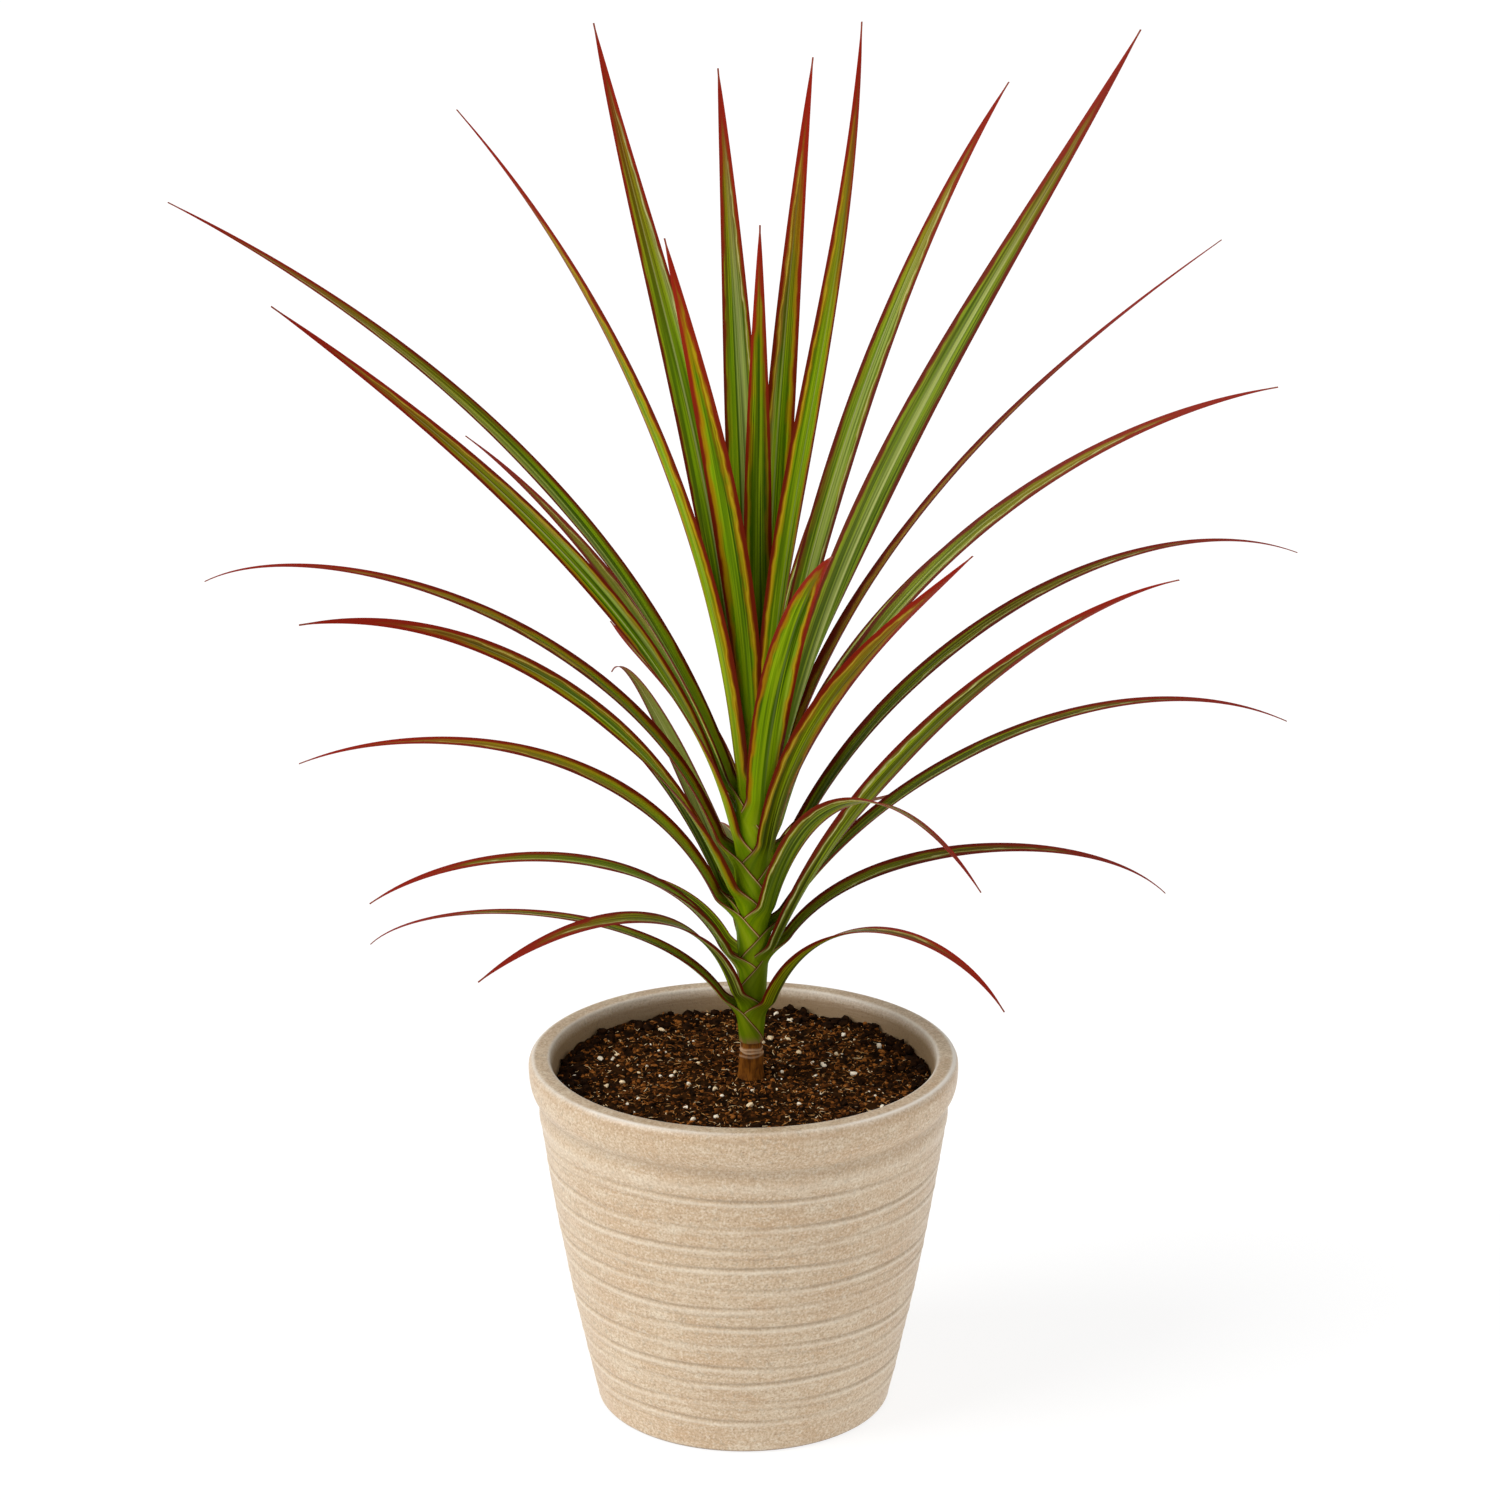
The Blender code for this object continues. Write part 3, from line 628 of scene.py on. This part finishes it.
def leaf_path(row, layer_z, quarter_height, fall):
    """The rib's path in the upright plane of the leaf, from the sheath's lower edge to the tip.

    Returns arrays of distance from the axis, height, share of the leaf's length, radius of the stem
    that the sheath holds and distance travelled, and the leaf's length.
    """
    foot_z, _, reach, tip_z, foot_slope, tip_slope, foot_carry, tip_carry = row[:8]
    foot = np.array([CLEARANCE + (read_rows(TRUNK_TAPER, foot_z) if foot_z <= TRUNK_TOP_Z else 0.0), foot_z])
    tip = np.array([reach, tip_z], dtype=float)
    chord = np.linalg.norm(tip - foot)
    first = foot + slope_way(foot_slope) * chord * foot_carry / 100.0
    second = tip - slope_way(tip_slope) * chord * tip_carry / 100.0
    t = np.linspace(0.0, 1.0, CURVE_STEPS)[:, None]
    curve = foot * (1 - t) ** 3 + first * 3 * t * (1 - t) ** 2 + second * 3 * t * t * (1 - t) + tip * t ** 3
    runs = np.concatenate([[0.0], np.cumsum(np.linalg.norm(np.diff(curve, axis=0), axis=1))])
    length = runs[-1]
    closing = quarter_height - 90.0 / fall
    bottom = max(min(closing, foot_z) - SHEATH_OVERRUN, SHEATH_FOOT_Z)
    below = np.arange(bottom, foot_z, SHEATH_PITCH)
    inner = foot[0] - (foot_z - below) / math.tan(math.radians(foot_slope))
    radii = np.concatenate([inner, curve[:, 0]])
    heights = np.concatenate([below, curve[:, 1]])
    shares = np.concatenate([np.zeros(len(below)), runs / length])
    keep = heights >= bottom - 1e-6
    radii, heights, shares = radii[keep], heights[keep], shares[keep]
    core = read_rows(SHEATH_CORE, heights)
    held = core + SHEATH_STANDOFF + LAYER_RISE * np.maximum(0.0, heights - layer_z + LAYER_START)
    depart = ease((heights - (quarter_height - RIB_LEAVES_AT / fall)) / (RIB_LEAVES_OVER / fall))
    depart = np.where(shares > FREE_SHARE, 1.0, depart)
    free = held + np.maximum(0.0, radii - held) * depart
    hugging = np.where(radii > held, free, smooth_larger(radii, held, HUG_SOFTNESS))
    radii = np.where(shares < HUG_SHARE, hugging, radii)
    travelled = np.concatenate([[0.0], np.cumsum(np.hypot(np.diff(radii), np.diff(heights)))])
    whole = travelled[-1]
    fine_end = min(whole * 0.5, FINE_REACH)
    fine = np.linspace(0.0, fine_end, int(fine_end / FINE_PITCH), endpoint=False)
    coarse = np.linspace(fine_end, whole, int((whole - fine_end) / STATION_PITCH))
    even = np.concatenate([fine, coarse])
    rows = [np.interp(even, travelled, values) for values in (radii, heights, shares, held)]
    return (*rows, even, length)


def strip_faces(travelled, spread):
    """Faces of a closed strip, and each face corner's place on the map that the baking uses.

    The upper side lies on the left half of the map and the under side on the right half.
    """
    stations = len(travelled)
    columns = len(spread)
    layer = stations * columns
    faces = []
    corner_uv = []
    v_place = 0.01 + 0.98 * travelled / travelled[-1]
    u_upper = 0.02 + 0.45 * (spread + 1.0) / 2.0
    u_lower = 0.53 + 0.45 * (spread + 1.0) / 2.0
    for row_index in range(stations - 1):
        low_v, high_v = v_place[row_index], v_place[row_index + 1]
        left = row_index * columns
        right = left + columns - 1
        edges = []
        for column in range(columns - 1):
            a = left + column
            edges.append((a, a + 1, u_upper[column], u_upper[column + 1]))
            edges.append((layer + a + 1, layer + a, u_lower[column + 1], u_lower[column]))
        edges.append((layer + left, left, 0.005, 0.015))
        edges.append((right, layer + right, 0.495, 0.505))
        for first, second, first_u, second_u in edges:
            faces.append((first, second, second + columns, first + columns))
            corner_uv += [(first_u, low_v), (second_u, low_v), (second_u, high_v), (first_u, high_v)]
    for start, turn_round in ((0, False), ((stations - 1) * columns, True)):
        rim = [*range(start, start + columns), *reversed(range(layer + start, layer + start + columns))]
        faces.append(tuple(rim) if turn_round else tuple(reversed(rim)))
        corner_uv += [(0.99 + 0.005 * math.cos(k), 0.5 + 0.005 * math.sin(k)) for k in range(len(rim))]
    return faces, corner_uv


def make_leaf(number, row, looks, material):
    """One closed strip: a level sheath that wraps the stem, then a channelled blade that leaves it."""
    layer_z, quarter_height, fall = looks[:3]
    radii, heights, shares, held, travelled, length = leaf_path(row, layer_z, quarter_height, fall)
    foot_z, direction = row[0], math.radians(row[1])
    width, turn = row[8], math.radians(row[9])
    out = np.array([math.cos(direction), math.sin(direction), 0.0])
    side = np.array([-out[1], out[0], 0.0])
    up = np.array([0.0, 0.0, 1.0])
    axis_x = trunk_axis_x(np.minimum(heights, foot_z))
    axis_x = np.where(shares > 0.0, trunk_axis_x(foot_z), axis_x)
    axis = heights[:, None] * up + axis_x[:, None] * np.array([1.0, 0.0, 0.0])
    ribs = radii[:, None] * out + axis
    ways = np.gradient(ribs, axis=0)
    ways /= np.linalg.norm(ways, axis=1)[:, None]
    faces_up = np.cross(ways, side)
    roll = turn * ease(shares / TURN_SHARE)
    across_way = side * np.cos(roll)[:, None] + faces_up * np.sin(roll)[:, None]
    normal = faces_up * np.cos(roll)[:, None] - side * np.sin(roll)[:, None]
    neck = NECK_WIDTH_SHARE + (1.0 - NECK_WIDTH_SHARE) * ease(shares / NECK_SHARE)
    to_tip = (1.0 - shares) / TIP_TAPER_SHARE
    taper = to_tip / (1.0 + to_tip ** TIP_TAPER_SHARPNESS) ** (1.0 / TIP_TAPER_SHARPNESS)
    blade_half = np.maximum(0.5 * width * neck * taper ** TIP_FULLNESS, TIP_HALF_WIDTH)
    channel = NECK_CHANNEL + (TIP_CHANNEL - NECK_CHANNEL) * ease(shares / CHANNEL_SHARE)
    blade_bend = 2.0 * np.arctan(channel)
    widest = BACK_WRAP if BACK_FIRST < row[1] < BACK_LAST else FULL_WRAP
    wrap = np.radians(np.clip(90.0 - fall * (heights - quarter_height), NARROWEST_WRAP, widest))
    leaving = ease((heights - (quarter_height + BLADE_OPENS_AT / fall)) / (BLADE_OPENS_OVER / fall))
    leaving = np.where(shares > OPEN_SHARE, 1.0, leaving)
    filled = ease(leaving * (shares / FULL_SHARE))
    thickness = SHEATH_THICKNESS + (BLADE_THICKNESS - SHEATH_THICKNESS) * filled
    thickness = thickness * (1.0 - TIP_THINNING * ease((shares - THIN_FROM_SHARE) / (1.0 - THIN_FROM_SHARE)))
    spread = np.linspace(-1.0, 1.0, ACROSS_STEPS + 1)

    turned = spread[None, :] * wrap[:, None]
    sheath_way = out * np.cos(turned)[:, :, None] + side * np.sin(turned)[:, :, None]
    bulge = np.cos(0.5 * math.pi * np.clip(turned / np.radians(RIB_BULGE_ANGLE), -1.0, 1.0)) ** 2
    distance = held[:, None] + (radii - held)[:, None] * bulge + MARGIN_FLARE * spread[None, :] ** 12
    sheath_points = axis[:, None, :] + sheath_way * distance[:, :, None]

    radius = blade_half / blade_bend
    angle = spread[None, :] * blade_bend[:, None]
    blade_way = -normal[:, None, :] * np.cos(angle)[:, :, None]
    blade_way = blade_way + across_way[:, None, :] * np.sin(angle)[:, :, None]
    blade_points = (ribs + normal * radius[:, None])[:, None, :] + blade_way * radius[:, None, None]

    share = leaving[:, None, None]
    upper = sheath_points * (1.0 - share) + blade_points * share
    outward = sheath_way * (1.0 - share) + blade_way * share
    outward /= np.linalg.norm(outward, axis=2)[:, :, None]
    half = held * wrap * (1.0 - leaving) + blade_half * leaving
    thin = thickness[:, None] * (1.0 - EDGE_THINNING * spread[None, :] ** 2)
    lower = upper + outward * thin[:, :, None]
    points = np.concatenate([upper.reshape(-1, 3), lower.reshape(-1, 3)]) * MM
    faces, corner_uv = strip_faces(travelled, spread)
    name = f"blade_{number:02d}"
    item = build_object(name, points, faces, [material], LEAF_SHARP_ANGLE)
    bake_map = item.data.uv_layers.new(name="OFBake")
    bake_map.data.foreach_set("uv", np.array(corner_uv, dtype=np.float32).ravel())
    on_each_station = {
        "along": shares * length / ALONG_UNIT,
        "tip_mm": (1.0 - shares) * length,
        "sheath": 1.0 - leaving,
        "paper": ease((PAPER_TOP_Z - heights) / PAPER_FADE) * (number <= PAPER_LEAVES),
    }
    add_values(item, "across", np.tile(spread, 2 * len(radii)))
    add_values(item, "edge_mm", np.tile((half[:, None] * (1.0 - np.abs(spread))[None, :]).ravel(), 2))
    for label, value in on_each_station.items():
        add_values(item, label, np.tile(np.repeat(value, len(spread)), 2))
    for label, value in zip(LOOK_LABELS, looks[3:] + (SEED_STEP * number,)):
        add_values(item, label, np.full(len(points), value))
    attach(item, "root")
    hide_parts(f"leaf_{number:02d}")


def make_leaves():
    material = leaf_look()
    for number, (row, looks) in enumerate(zip(LEAF_PLAN, LEAF_LOOKS), start=1):
        make_leaf(number, row, looks, material)


def closed_rows(rows, sides):
    """Faces of a closed body whose points lie in rows, one above another."""
    faces = []
    for row_index in range(rows - 1):
        for step in range(sides):
            after = (step + 1) % sides
            low = row_index * sides
            faces.append((low + step, low + after, low + sides + after, low + sides + step))
    faces.append(tuple(reversed(range(sides))))
    top = (rows - 1) * sides
    faces.append(tuple(range(top, top + sides)))
    return faces


def body_radius(height):
    share = height / LIP_FOOT_Z
    straight = BODY_BASE_RADIUS + (BODY_TOP_RADIUS - BODY_BASE_RADIUS) * share
    return straight + BODY_BELLY * 4.0 * share * (1.0 - share)


def inner_radius(height):
    share = (height - FLOOR_THICKNESS) / (RIM_TOP_Z - FLOOR_THICKNESS)
    return INNER_FLOOR_RADIUS + (RIM_INNER_RADIUS - INNER_FLOOR_RADIUS) * share ** INNER_BOW


def smooth_outline(points, steps):
    """More points on a smooth curve through the given ones."""
    result = []
    for index in range(len(points) - 1):
        before = np.array(points[max(0, index - 1)])
        start = np.array(points[index])
        end = np.array(points[index + 1])
        after = np.array(points[min(len(points) - 1, index + 2)])
        for step in range(steps):
            t = step / steps
            slope = end - before
            bend = 2 * before - 5 * start + 4 * end - after
            twist = 3 * start - before - 3 * end + after
            result.append(tuple(0.5 * (2 * start + slope * t + bend * t * t + twist * t ** 3)))
    result.append(points[-1])
    return result


def pot_profile():
    """Radius and height of each row, up the outside and down the inside, and how many are outside."""
    profile = [(AXIS_RADIUS, 0.0), (BASE_FLAT_RADIUS, 0.0)]
    centre = body_radius(BASE_ROUNDING) - BASE_ROUNDING
    for step in range(ROUNDING_STEPS + 1):
        angle = 0.5 * math.pi * step / ROUNDING_STEPS
        profile.append((centre + BASE_ROUNDING * math.sin(angle), BASE_ROUNDING * (1.0 - math.cos(angle))))
    height = WALL_FIRST_Z
    while height < WALL_LAST_Z:
        profile.append((body_radius(height), height))
        height += WALL_PITCH
    profile += smooth_outline(LIP_OUTLINE, LIP_STEPS)
    outer_rows = len(profile)
    height = INNER_FIRST_Z
    while height > FLOOR_THICKNESS + 1.0:
        profile.append((inner_radius(height), height))
        height -= INNER_FINE_PITCH if height > INNER_FINE_TO_Z else INNER_PITCH
    profile += [(INNER_FLOOR_RADIUS - 1.0, FLOOR_THICKNESS), (AXIS_RADIUS, FLOOR_THICKNESS)]
    return profile, outer_rows


def groove_relief(angle, level):
    """How much groove, with painted shade in the cove under the lip, and how much crest, with a painted
    highlight on the shoulder below it, there is at a place on the pot's wall, and the change of radius.
    """
    groove = 0.0
    crest = 0.0
    for index, groove_height in enumerate(GROOVE_HEIGHTS):
        sway = 0.55 * math.sin(angle * 2.0 + index * 1.7) + 0.35 * math.sin(angle * 5.0 + index * 2.9)
        strength = 0.75 + 0.35 * math.sin(angle * 3.0 + index * 4.1)
        offset = level - groove_height - sway
        groove += strength * bell(offset, GROOVE_HALF_WIDTH)
        crest += strength * bell(offset + CREST_DROP, CREST_HALF_WIDTH)
        partial = max(0.25, math.sin(angle * 2.0 + index * 2.3)) * LESSER_SHARE
        lesser_sway = 0.4 * math.sin(angle * 4.0 + index)
        groove += partial * bell(offset + LESSER_DROP + lesser_sway, LESSER_HALF_WIDTH)
    cove = bell(level - COVE_Z, COVE_HALF_WIDTH)
    shoulder = bell(level - COVE_Z + SHOULDER_DROP, SHOULDER_HALF_WIDTH)
    change = CREST_HEIGHT * crest + SHOULDER_HEIGHT * shoulder - GROOVE_DEPTH * groove - COVE_DEPTH * cove
    return groove + 0.55 * cove, crest + 0.5 * shoulder, change


def make_pot(material):
    """The turned pot with its relief, and values that mark painted shade in the grooves, cove and foot,
    painted highlights on the crests, shoulder and rim, the inside and stains.
    """
    profile, outer_rows = pot_profile()
    values = {"groove": [], "crest": [], "inside": [], "rim_highlight": [], "stain": [], "foot": []}
    points = []
    for row_index, (row_radius, level) in enumerate(profile):
        outside = row_index < outer_rows
        for step in range(POT_SIDES):
            angle = 2.0 * math.pi * step / POT_SIDES
            radius = row_radius
            groove = 0.0
            crest = 0.0
            if outside and 4.5 < level < 140.0:
                groove, crest, change = groove_relief(angle, level)
                radius += change
            if outside and 8.0 < level < 151.0:
                radius += WALL_WAVES * wave(math.cos(angle) * 2.2, math.sin(angle) * 2.2, level * 0.05)
            around = wave(math.cos(angle) * 1.6, math.sin(angle) * 1.6, 4.0)
            rim_highlight = 0.0
            # Painted highlights along the rim's outer edge, stronger or weaker round the pot, and along its
            # inner edge
            if level > RIM_LINES_FROM_Z:
                rim_highlight = bell(radius - OUTER_LINE_RADIUS, LINE_HALF_WIDTH) * (0.75 + 0.9 * around)
                rim_highlight += bell(radius - INNER_LINE_RADIUS, LINE_HALF_WIDTH) * 0.6
            stain = 0.45 * bell(level - STAIN_Z, STAIN_HALF_WIDTH)
            if not outside:
                stain = 0.8 * bell(level - SOIL_TOP_Z, SOIL_STAIN_HALF_WIDTH)
            values["groove"].append(min(1.0, groove))
            # Painted contact shade on the lowest millimetre and a half of the outside
            values["foot"].append(float(ease(1.5 - level)) if outside else 0.0)
            values["crest"].append(min(1.0, crest))
            values["inside"].append(0.0 if outside else 1.0)
            values["rim_highlight"].append(min(0.9, max(0.0, rim_highlight)))
            values["stain"].append(stain)
            points.append(ring_point(radius, angle, level))
    pot = build_object("stoneware_pot", points, closed_rows(len(profile), POT_SIDES), [material], 60.0)
    for label, value in values.items():
        add_values(pot, label, value)
    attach(pot, "root")
    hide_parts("pot")


def soil_height(x, y):
    """Height of the soil's surface over a place, in millimetres: a slight mound, lumps and crumbs."""
    distance = math.hypot(x, y)
    mound = 1.4 * (1.0 - (distance / SOIL_RADIUS) ** 2)
    lumps = 1.5 * wave(x * 0.07, y * 0.07, 1.7)
    crumbs = 1.1 * wave(x * 0.28, y * 0.28, 5.3)
    fine = 0.5 * wave(x * 0.75, y * 0.75, 9.1)
    near_trunk = bell(math.hypot(x - TRUNK_FOOT_X, y), 9.0)
    at_wall = float(ease((distance - 64.0) / 12.0)) * (1.3 + 2.2 * wave(x * 0.12, y * 0.12, 3.1))
    rough = (lumps + crumbs + fine) * (1.0 - 0.7 * near_trunk)
    return SOIL_TOP_Z - 0.6 + mound + at_wall + rough - 1.2 * near_trunk


def make_soil_bed(material):
    """The soil's lumpy surface, closed by a wall and a flat base inside the pot."""
    sides = BED_SIDES
    angles = [2.0 * math.pi * step / sides for step in range(sides)]
    points = [(0.0, 0.0, soil_height(0.0, 0.0) * MM)]
    for ring in range(1, BED_RINGS + 1):
        radius = SOIL_RADIUS * ring / BED_RINGS
        for angle in angles:
            level = soil_height(radius * math.cos(angle), radius * math.sin(angle))
            points.append(ring_point(radius, angle, level))
    faces = [(0, 1 + step, 1 + (step + 1) % sides) for step in range(sides)]
    for ring in range(BED_RINGS - 1):
        low = 1 + ring * sides
        for step in range(sides):
            after = (step + 1) % sides
            faces.append((low + step, low + sides + step, low + sides + after, low + after))
    edge = 1 + (BED_RINGS - 1) * sides
    start = len(points)
    points += [ring_point(inner_radius(BED_BASE_Z) - BED_CLEARANCE, angle, BED_BASE_Z) for angle in angles]
    for step in range(sides):
        after = (step + 1) % sides
        faces.append((edge + step, start + step, start + after, edge + after))
    faces.append(tuple(reversed(range(start, start + sides))))
    bed = build_object("soil_bed", points, faces, [material])
    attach(bed, "root")
    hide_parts("soil")


def lump_shape(dice, size, squash):
    """Points and faces of one irregular crumb: a small round mesh pushed in and out."""
    points = [(0.0, 0.0, 1.0)]
    faces = []
    rows, sides = 3, 6
    for row_index in range(1, rows + 1):
        tilt = math.pi * row_index / (rows + 1)
        for step in range(sides):
            angle = 2.0 * math.pi * (step + 0.5 * (row_index % 2)) / sides
            across = math.sin(tilt)
            points.append((across * math.cos(angle), across * math.sin(angle), math.cos(tilt)))
    points.append((0.0, 0.0, -1.0))
    last = len(points) - 1
    for step in range(sides):
        after = (step + 1) % sides
        faces.append((0, 1 + step, 1 + after))
        for row_index in range(rows - 1):
            low = 1 + row_index * sides
            faces.append((low + step, low + sides + step, low + sides + after, low + after))
        low = 1 + (rows - 1) * sides
        faces.append((low + step, last, low + after))
    stretch = (dice.uniform(0.7, 1.3), dice.uniform(0.6, 1.1), dice.uniform(0.5, 0.95) * squash)
    spin = dice.uniform(0.0, 2.0 * math.pi)
    tilt = dice.uniform(-0.5, 0.5)
    shaped = []
    for x, y, z in points:
        push = dice.uniform(0.72, 1.22)
        x, y, z = (x * push * stretch[0] * size, y * push * stretch[1] * size, z * push * stretch[2] * size)
        x, z = x * math.cos(tilt) - z * math.sin(tilt), x * math.sin(tilt) + z * math.cos(tilt)
        x, y = x * math.cos(spin) - y * math.sin(spin), x * math.sin(spin) + y * math.cos(spin)
        shaped.append((x, y, z))
    return shaped, faces


def strip_shape(dice, length, width):
    """Points and faces of one bent bit of fibre with a diamond section."""
    sections = 4
    spin = dice.uniform(0.0, 2.0 * math.pi)
    bend = dice.uniform(-0.9, 0.9)
    rise = dice.uniform(-0.25, 0.45)
    points = []
    for index in range(sections + 1):
        share = index / sections - 0.5
        heading = spin + bend * share
        x = length * share * math.cos(heading)
        y = length * share * math.sin(heading)
        z = length * (rise * share + 0.12 * (0.25 - share * share))
        half = 0.5 * width * (1.15 - 1.4 * abs(share))
        points += [(x - half * math.sin(heading), y + half * math.cos(heading), z), (x, y, z + half * 0.6),
                   (x + half * math.sin(heading), y - half * math.cos(heading), z), (x, y, z - half * 0.6)]
    faces = [(0, 1, 2, 3)]
    for index in range(sections):
        low = 4 * index
        for corner in range(4):
            after = (corner + 1) % 4
            faces.append((low + corner, low + 4 + corner, low + 4 + after, low + after))
    end = 4 * sections
    faces.append((end + 3, end + 2, end + 1, end))
    return points, faces


def scatter(name, dice, count, shape, tones, sink, spread_power=0.5):
    """Many small things on the soil, joined into one piece. Each takes one of the plain colours."""
    points = []
    faces = []
    face_materials = []
    for _ in range(count):
        radius = SCATTER_REACH * dice.random() ** spread_power
        angle = dice.uniform(0.0, 2.0 * math.pi)
        x = radius * math.cos(angle)
        y = radius * math.sin(angle)
        if math.hypot(x - TRUNK_FOOT_X, y) < TRUNK_BERTH:
            continue
        bit_points, bit_faces, size = shape(dice)
        level = soil_height(x, y) + sink * size
        start = len(points)
        points += [((x + px) * MM, (y + py) * MM, (level + pz) * MM) for px, py, pz in bit_points]
        faces += [tuple(start + corner for corner in face) for face in bit_faces]
        tone = dice.randrange(len(tones))
        face_materials += [tone] * len(bit_faces)
    item = build_object(name, points, faces, tones, BIT_SHARP_ANGLE, face_materials)
    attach(item, "root")


def make_soil():
    """The bed, then crumbs, clods, fibres and white grains lying on it."""
    peat = plain_look("peat", (0.007, 0.003, 0.001), (0.036, 0.013, 0.003), 0.86, 260.0, 0.0006)
    dark = plain_look("dark_bark", (0.006, 0.0025, 0.001), (0.024, 0.009, 0.003), 0.8, 500.0, 0.0004)
    brown = plain_look("brown_bark", (0.060, 0.018, 0.004), (0.125, 0.040, 0.008), 0.8, 500.0, 0.0004)
    rust = plain_look("rust_bark", (0.20, 0.065, 0.012), (0.34, 0.120, 0.024), 0.78, 500.0, 0.0004)
    tan = plain_look("tan_fibre", (0.40, 0.18, 0.055), (0.54, 0.29, 0.10), 0.75, 500.0, 0.0002)
    straw = plain_look("straw_fibre", (0.70, 0.50, 0.26), (0.86, 0.68, 0.42), 0.75, 500.0, 0.0002)
    white = plain_look("perlite_white", (0.90, 0.78, 0.58), (0.98, 0.90, 0.75), 0.7, 900.0, 0.0003)
    cream = plain_look("perlite_cream", (0.82, 0.61, 0.36), (0.93, 0.77, 0.52), 0.7, 900.0, 0.0003)
    make_soil_bed(peat)
    dice = random.Random(SCATTER_SEED)

    def lumps(least, more, power, squash):
        def lump(source):
            size = least + more * source.random() ** power
            return (*lump_shape(source, size, squash), size)

        return lump

    def fibre(source):
        length = 0.9 + 3.2 * source.random() ** 1.8
        return (*strip_shape(source, length, source.uniform(0.25, 0.55)), 1.0)

    fibre_tones = [rust, tan, rust, brown, brown, rust, tan, rust, brown, straw]
    scatter("soil_crumbs", dice, CRUMBS, lumps(0.35, 1.0, 2.2, 0.8), [dark, brown, dark, brown, rust], 0.15)
    scatter("soil_clods", dice, CLODS, lumps(1.3, 1.7, 1.0, 0.8), [dark], 0.15, CLOD_SPREAD)
    scatter("soil_fibres", dice, FIBRES, fibre, fibre_tones, 0.35)
    scatter("perlite", dice, PERLITE_GRAINS, lumps(0.38, 1.4, 3.0, 0.9), [white, cream, white], 0.30)


def make_trunk(material):
    """The bare brown foot with its bark's relief and papery rings, then the core inside the sheaths."""
    profile = []
    height = TRUNK_FOOT_Z
    while height < TRUNK_TOP_Z:
        profile.append(height)
        height += BARK_PITCH if height < BARK_TOP_Z else CORE_PITCH
    profile.append(TRUNK_TOP_Z)
    points = []
    ring_values = []
    for level in profile:
        centre_x = trunk_axis_x(level)
        for step in range(STEM_SIDES):
            angle = 2.0 * math.pi * step / STEM_SIDES
            x, y = math.cos(angle), math.sin(angle)
            radius = float(read_rows(STEM_TAPER, level))
            ring = 0.0
            for ring_height, strength in PAPER_RINGS:
                sway = 0.5 * math.sin(angle + ring_height) + 0.25 * math.sin(3.0 * angle + ring_height)
                ring += strength * bell(level - ring_height - sway, RING_HALF_WIDTH)
            if level < BARK_TOP_Z:
                radius += 0.25 * wave(x * 5.0, y * 5.0, level * 0.12)
                radius += 0.12 * wave(x * 14.0, y * 14.0, level * 0.2)
                radius += RING_HEIGHT * ring
            points.append(((centre_x + radius * x) * MM, radius * y * MM, level * MM))
            ring_values.append(min(1.0, ring))
    faces = closed_rows(len(profile), STEM_SIDES)
    trunk = build_object("stem", points, faces, [material], 60.0)
    add_values(trunk, "ring", ring_values)
    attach(trunk, "root")
    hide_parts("trunk")


def make_camera():
    data = bpy.data.cameras.new("camera")
    data.lens = CAMERA_LENS
    data.sensor_width = SENSOR_WIDTH
    data.clip_end = 100.0
    camera = bpy.data.objects.new("camera", data)
    camera.location = CAMERA_PLACE
    camera.rotation_euler = (math.radians(90.0 - CAMERA_TILT_DOWN), 0.0, 0.0)
    bpy.context.scene.collection.objects.link(camera)
    bpy.context.scene.camera = camera


def make_soft_sun(name, direction, angle, strength):
    """A wide, even light that comes from a direction, with soft shadows."""
    data = bpy.data.lights.new(name, "SUN")
    data.angle = math.radians(angle)
    data.energy = strength
    light = bpy.data.objects.new(name, data)
    light.rotation_euler = Vector(direction).to_track_quat("Z", "Y").to_euler()
    bpy.context.scene.collection.objects.link(light)


def make_studio():
    """A pale floor, even light from all round and two wide soft lights."""
    scene = bpy.context.scene
    scene.view_settings.view_transform = "Standard"
    world = bpy.data.worlds.new("studio")
    world.use_nodes = True
    background = world.node_tree.nodes["Background"]
    background.inputs["Color"].default_value = (1.0, 1.0, 1.0, 1.0)
    background.inputs["Strength"].default_value = WORLD_STRENGTH
    scene.world = world
    make_soft_sun("key_light", (-1.3, -0.5, 1.0), 40.0, KEY_STRENGTH)
    make_soft_sun("fill_light", (1.2, -0.8, 0.7), 70.0, FILL_STRENGTH)
    look = Look("pale_floor")
    tint = look.noise(look.place(), 0.4, 1.0, 0.5)
    look.colour(look.mix(look.remap(tint, 0.3, 0.7), (0.30, 0.30, 0.30), (0.31, 0.31, 0.31)))
    look.roughness(0.9)
    look.specular(0.0)
    look.shader.inputs["Emission Color"].default_value = (1.0, 1.0, 1.0, 1.0)
    look.shader.inputs["Emission Strength"].default_value = FLOOR_GLOW
    corners = [(FLOOR_REACH * x, FLOOR_REACH * y, 0.0) for x, y in ((-1, -1), (1, -1), (1, 1), (-1, 1))]
    floor = build_object("floor", corners, [(0, 1, 2, 3)], [look.material])


make_camera()
make_studio()
make_pot(stoneware_look())
make_soil()
make_trunk(bark_look())
make_leaves()
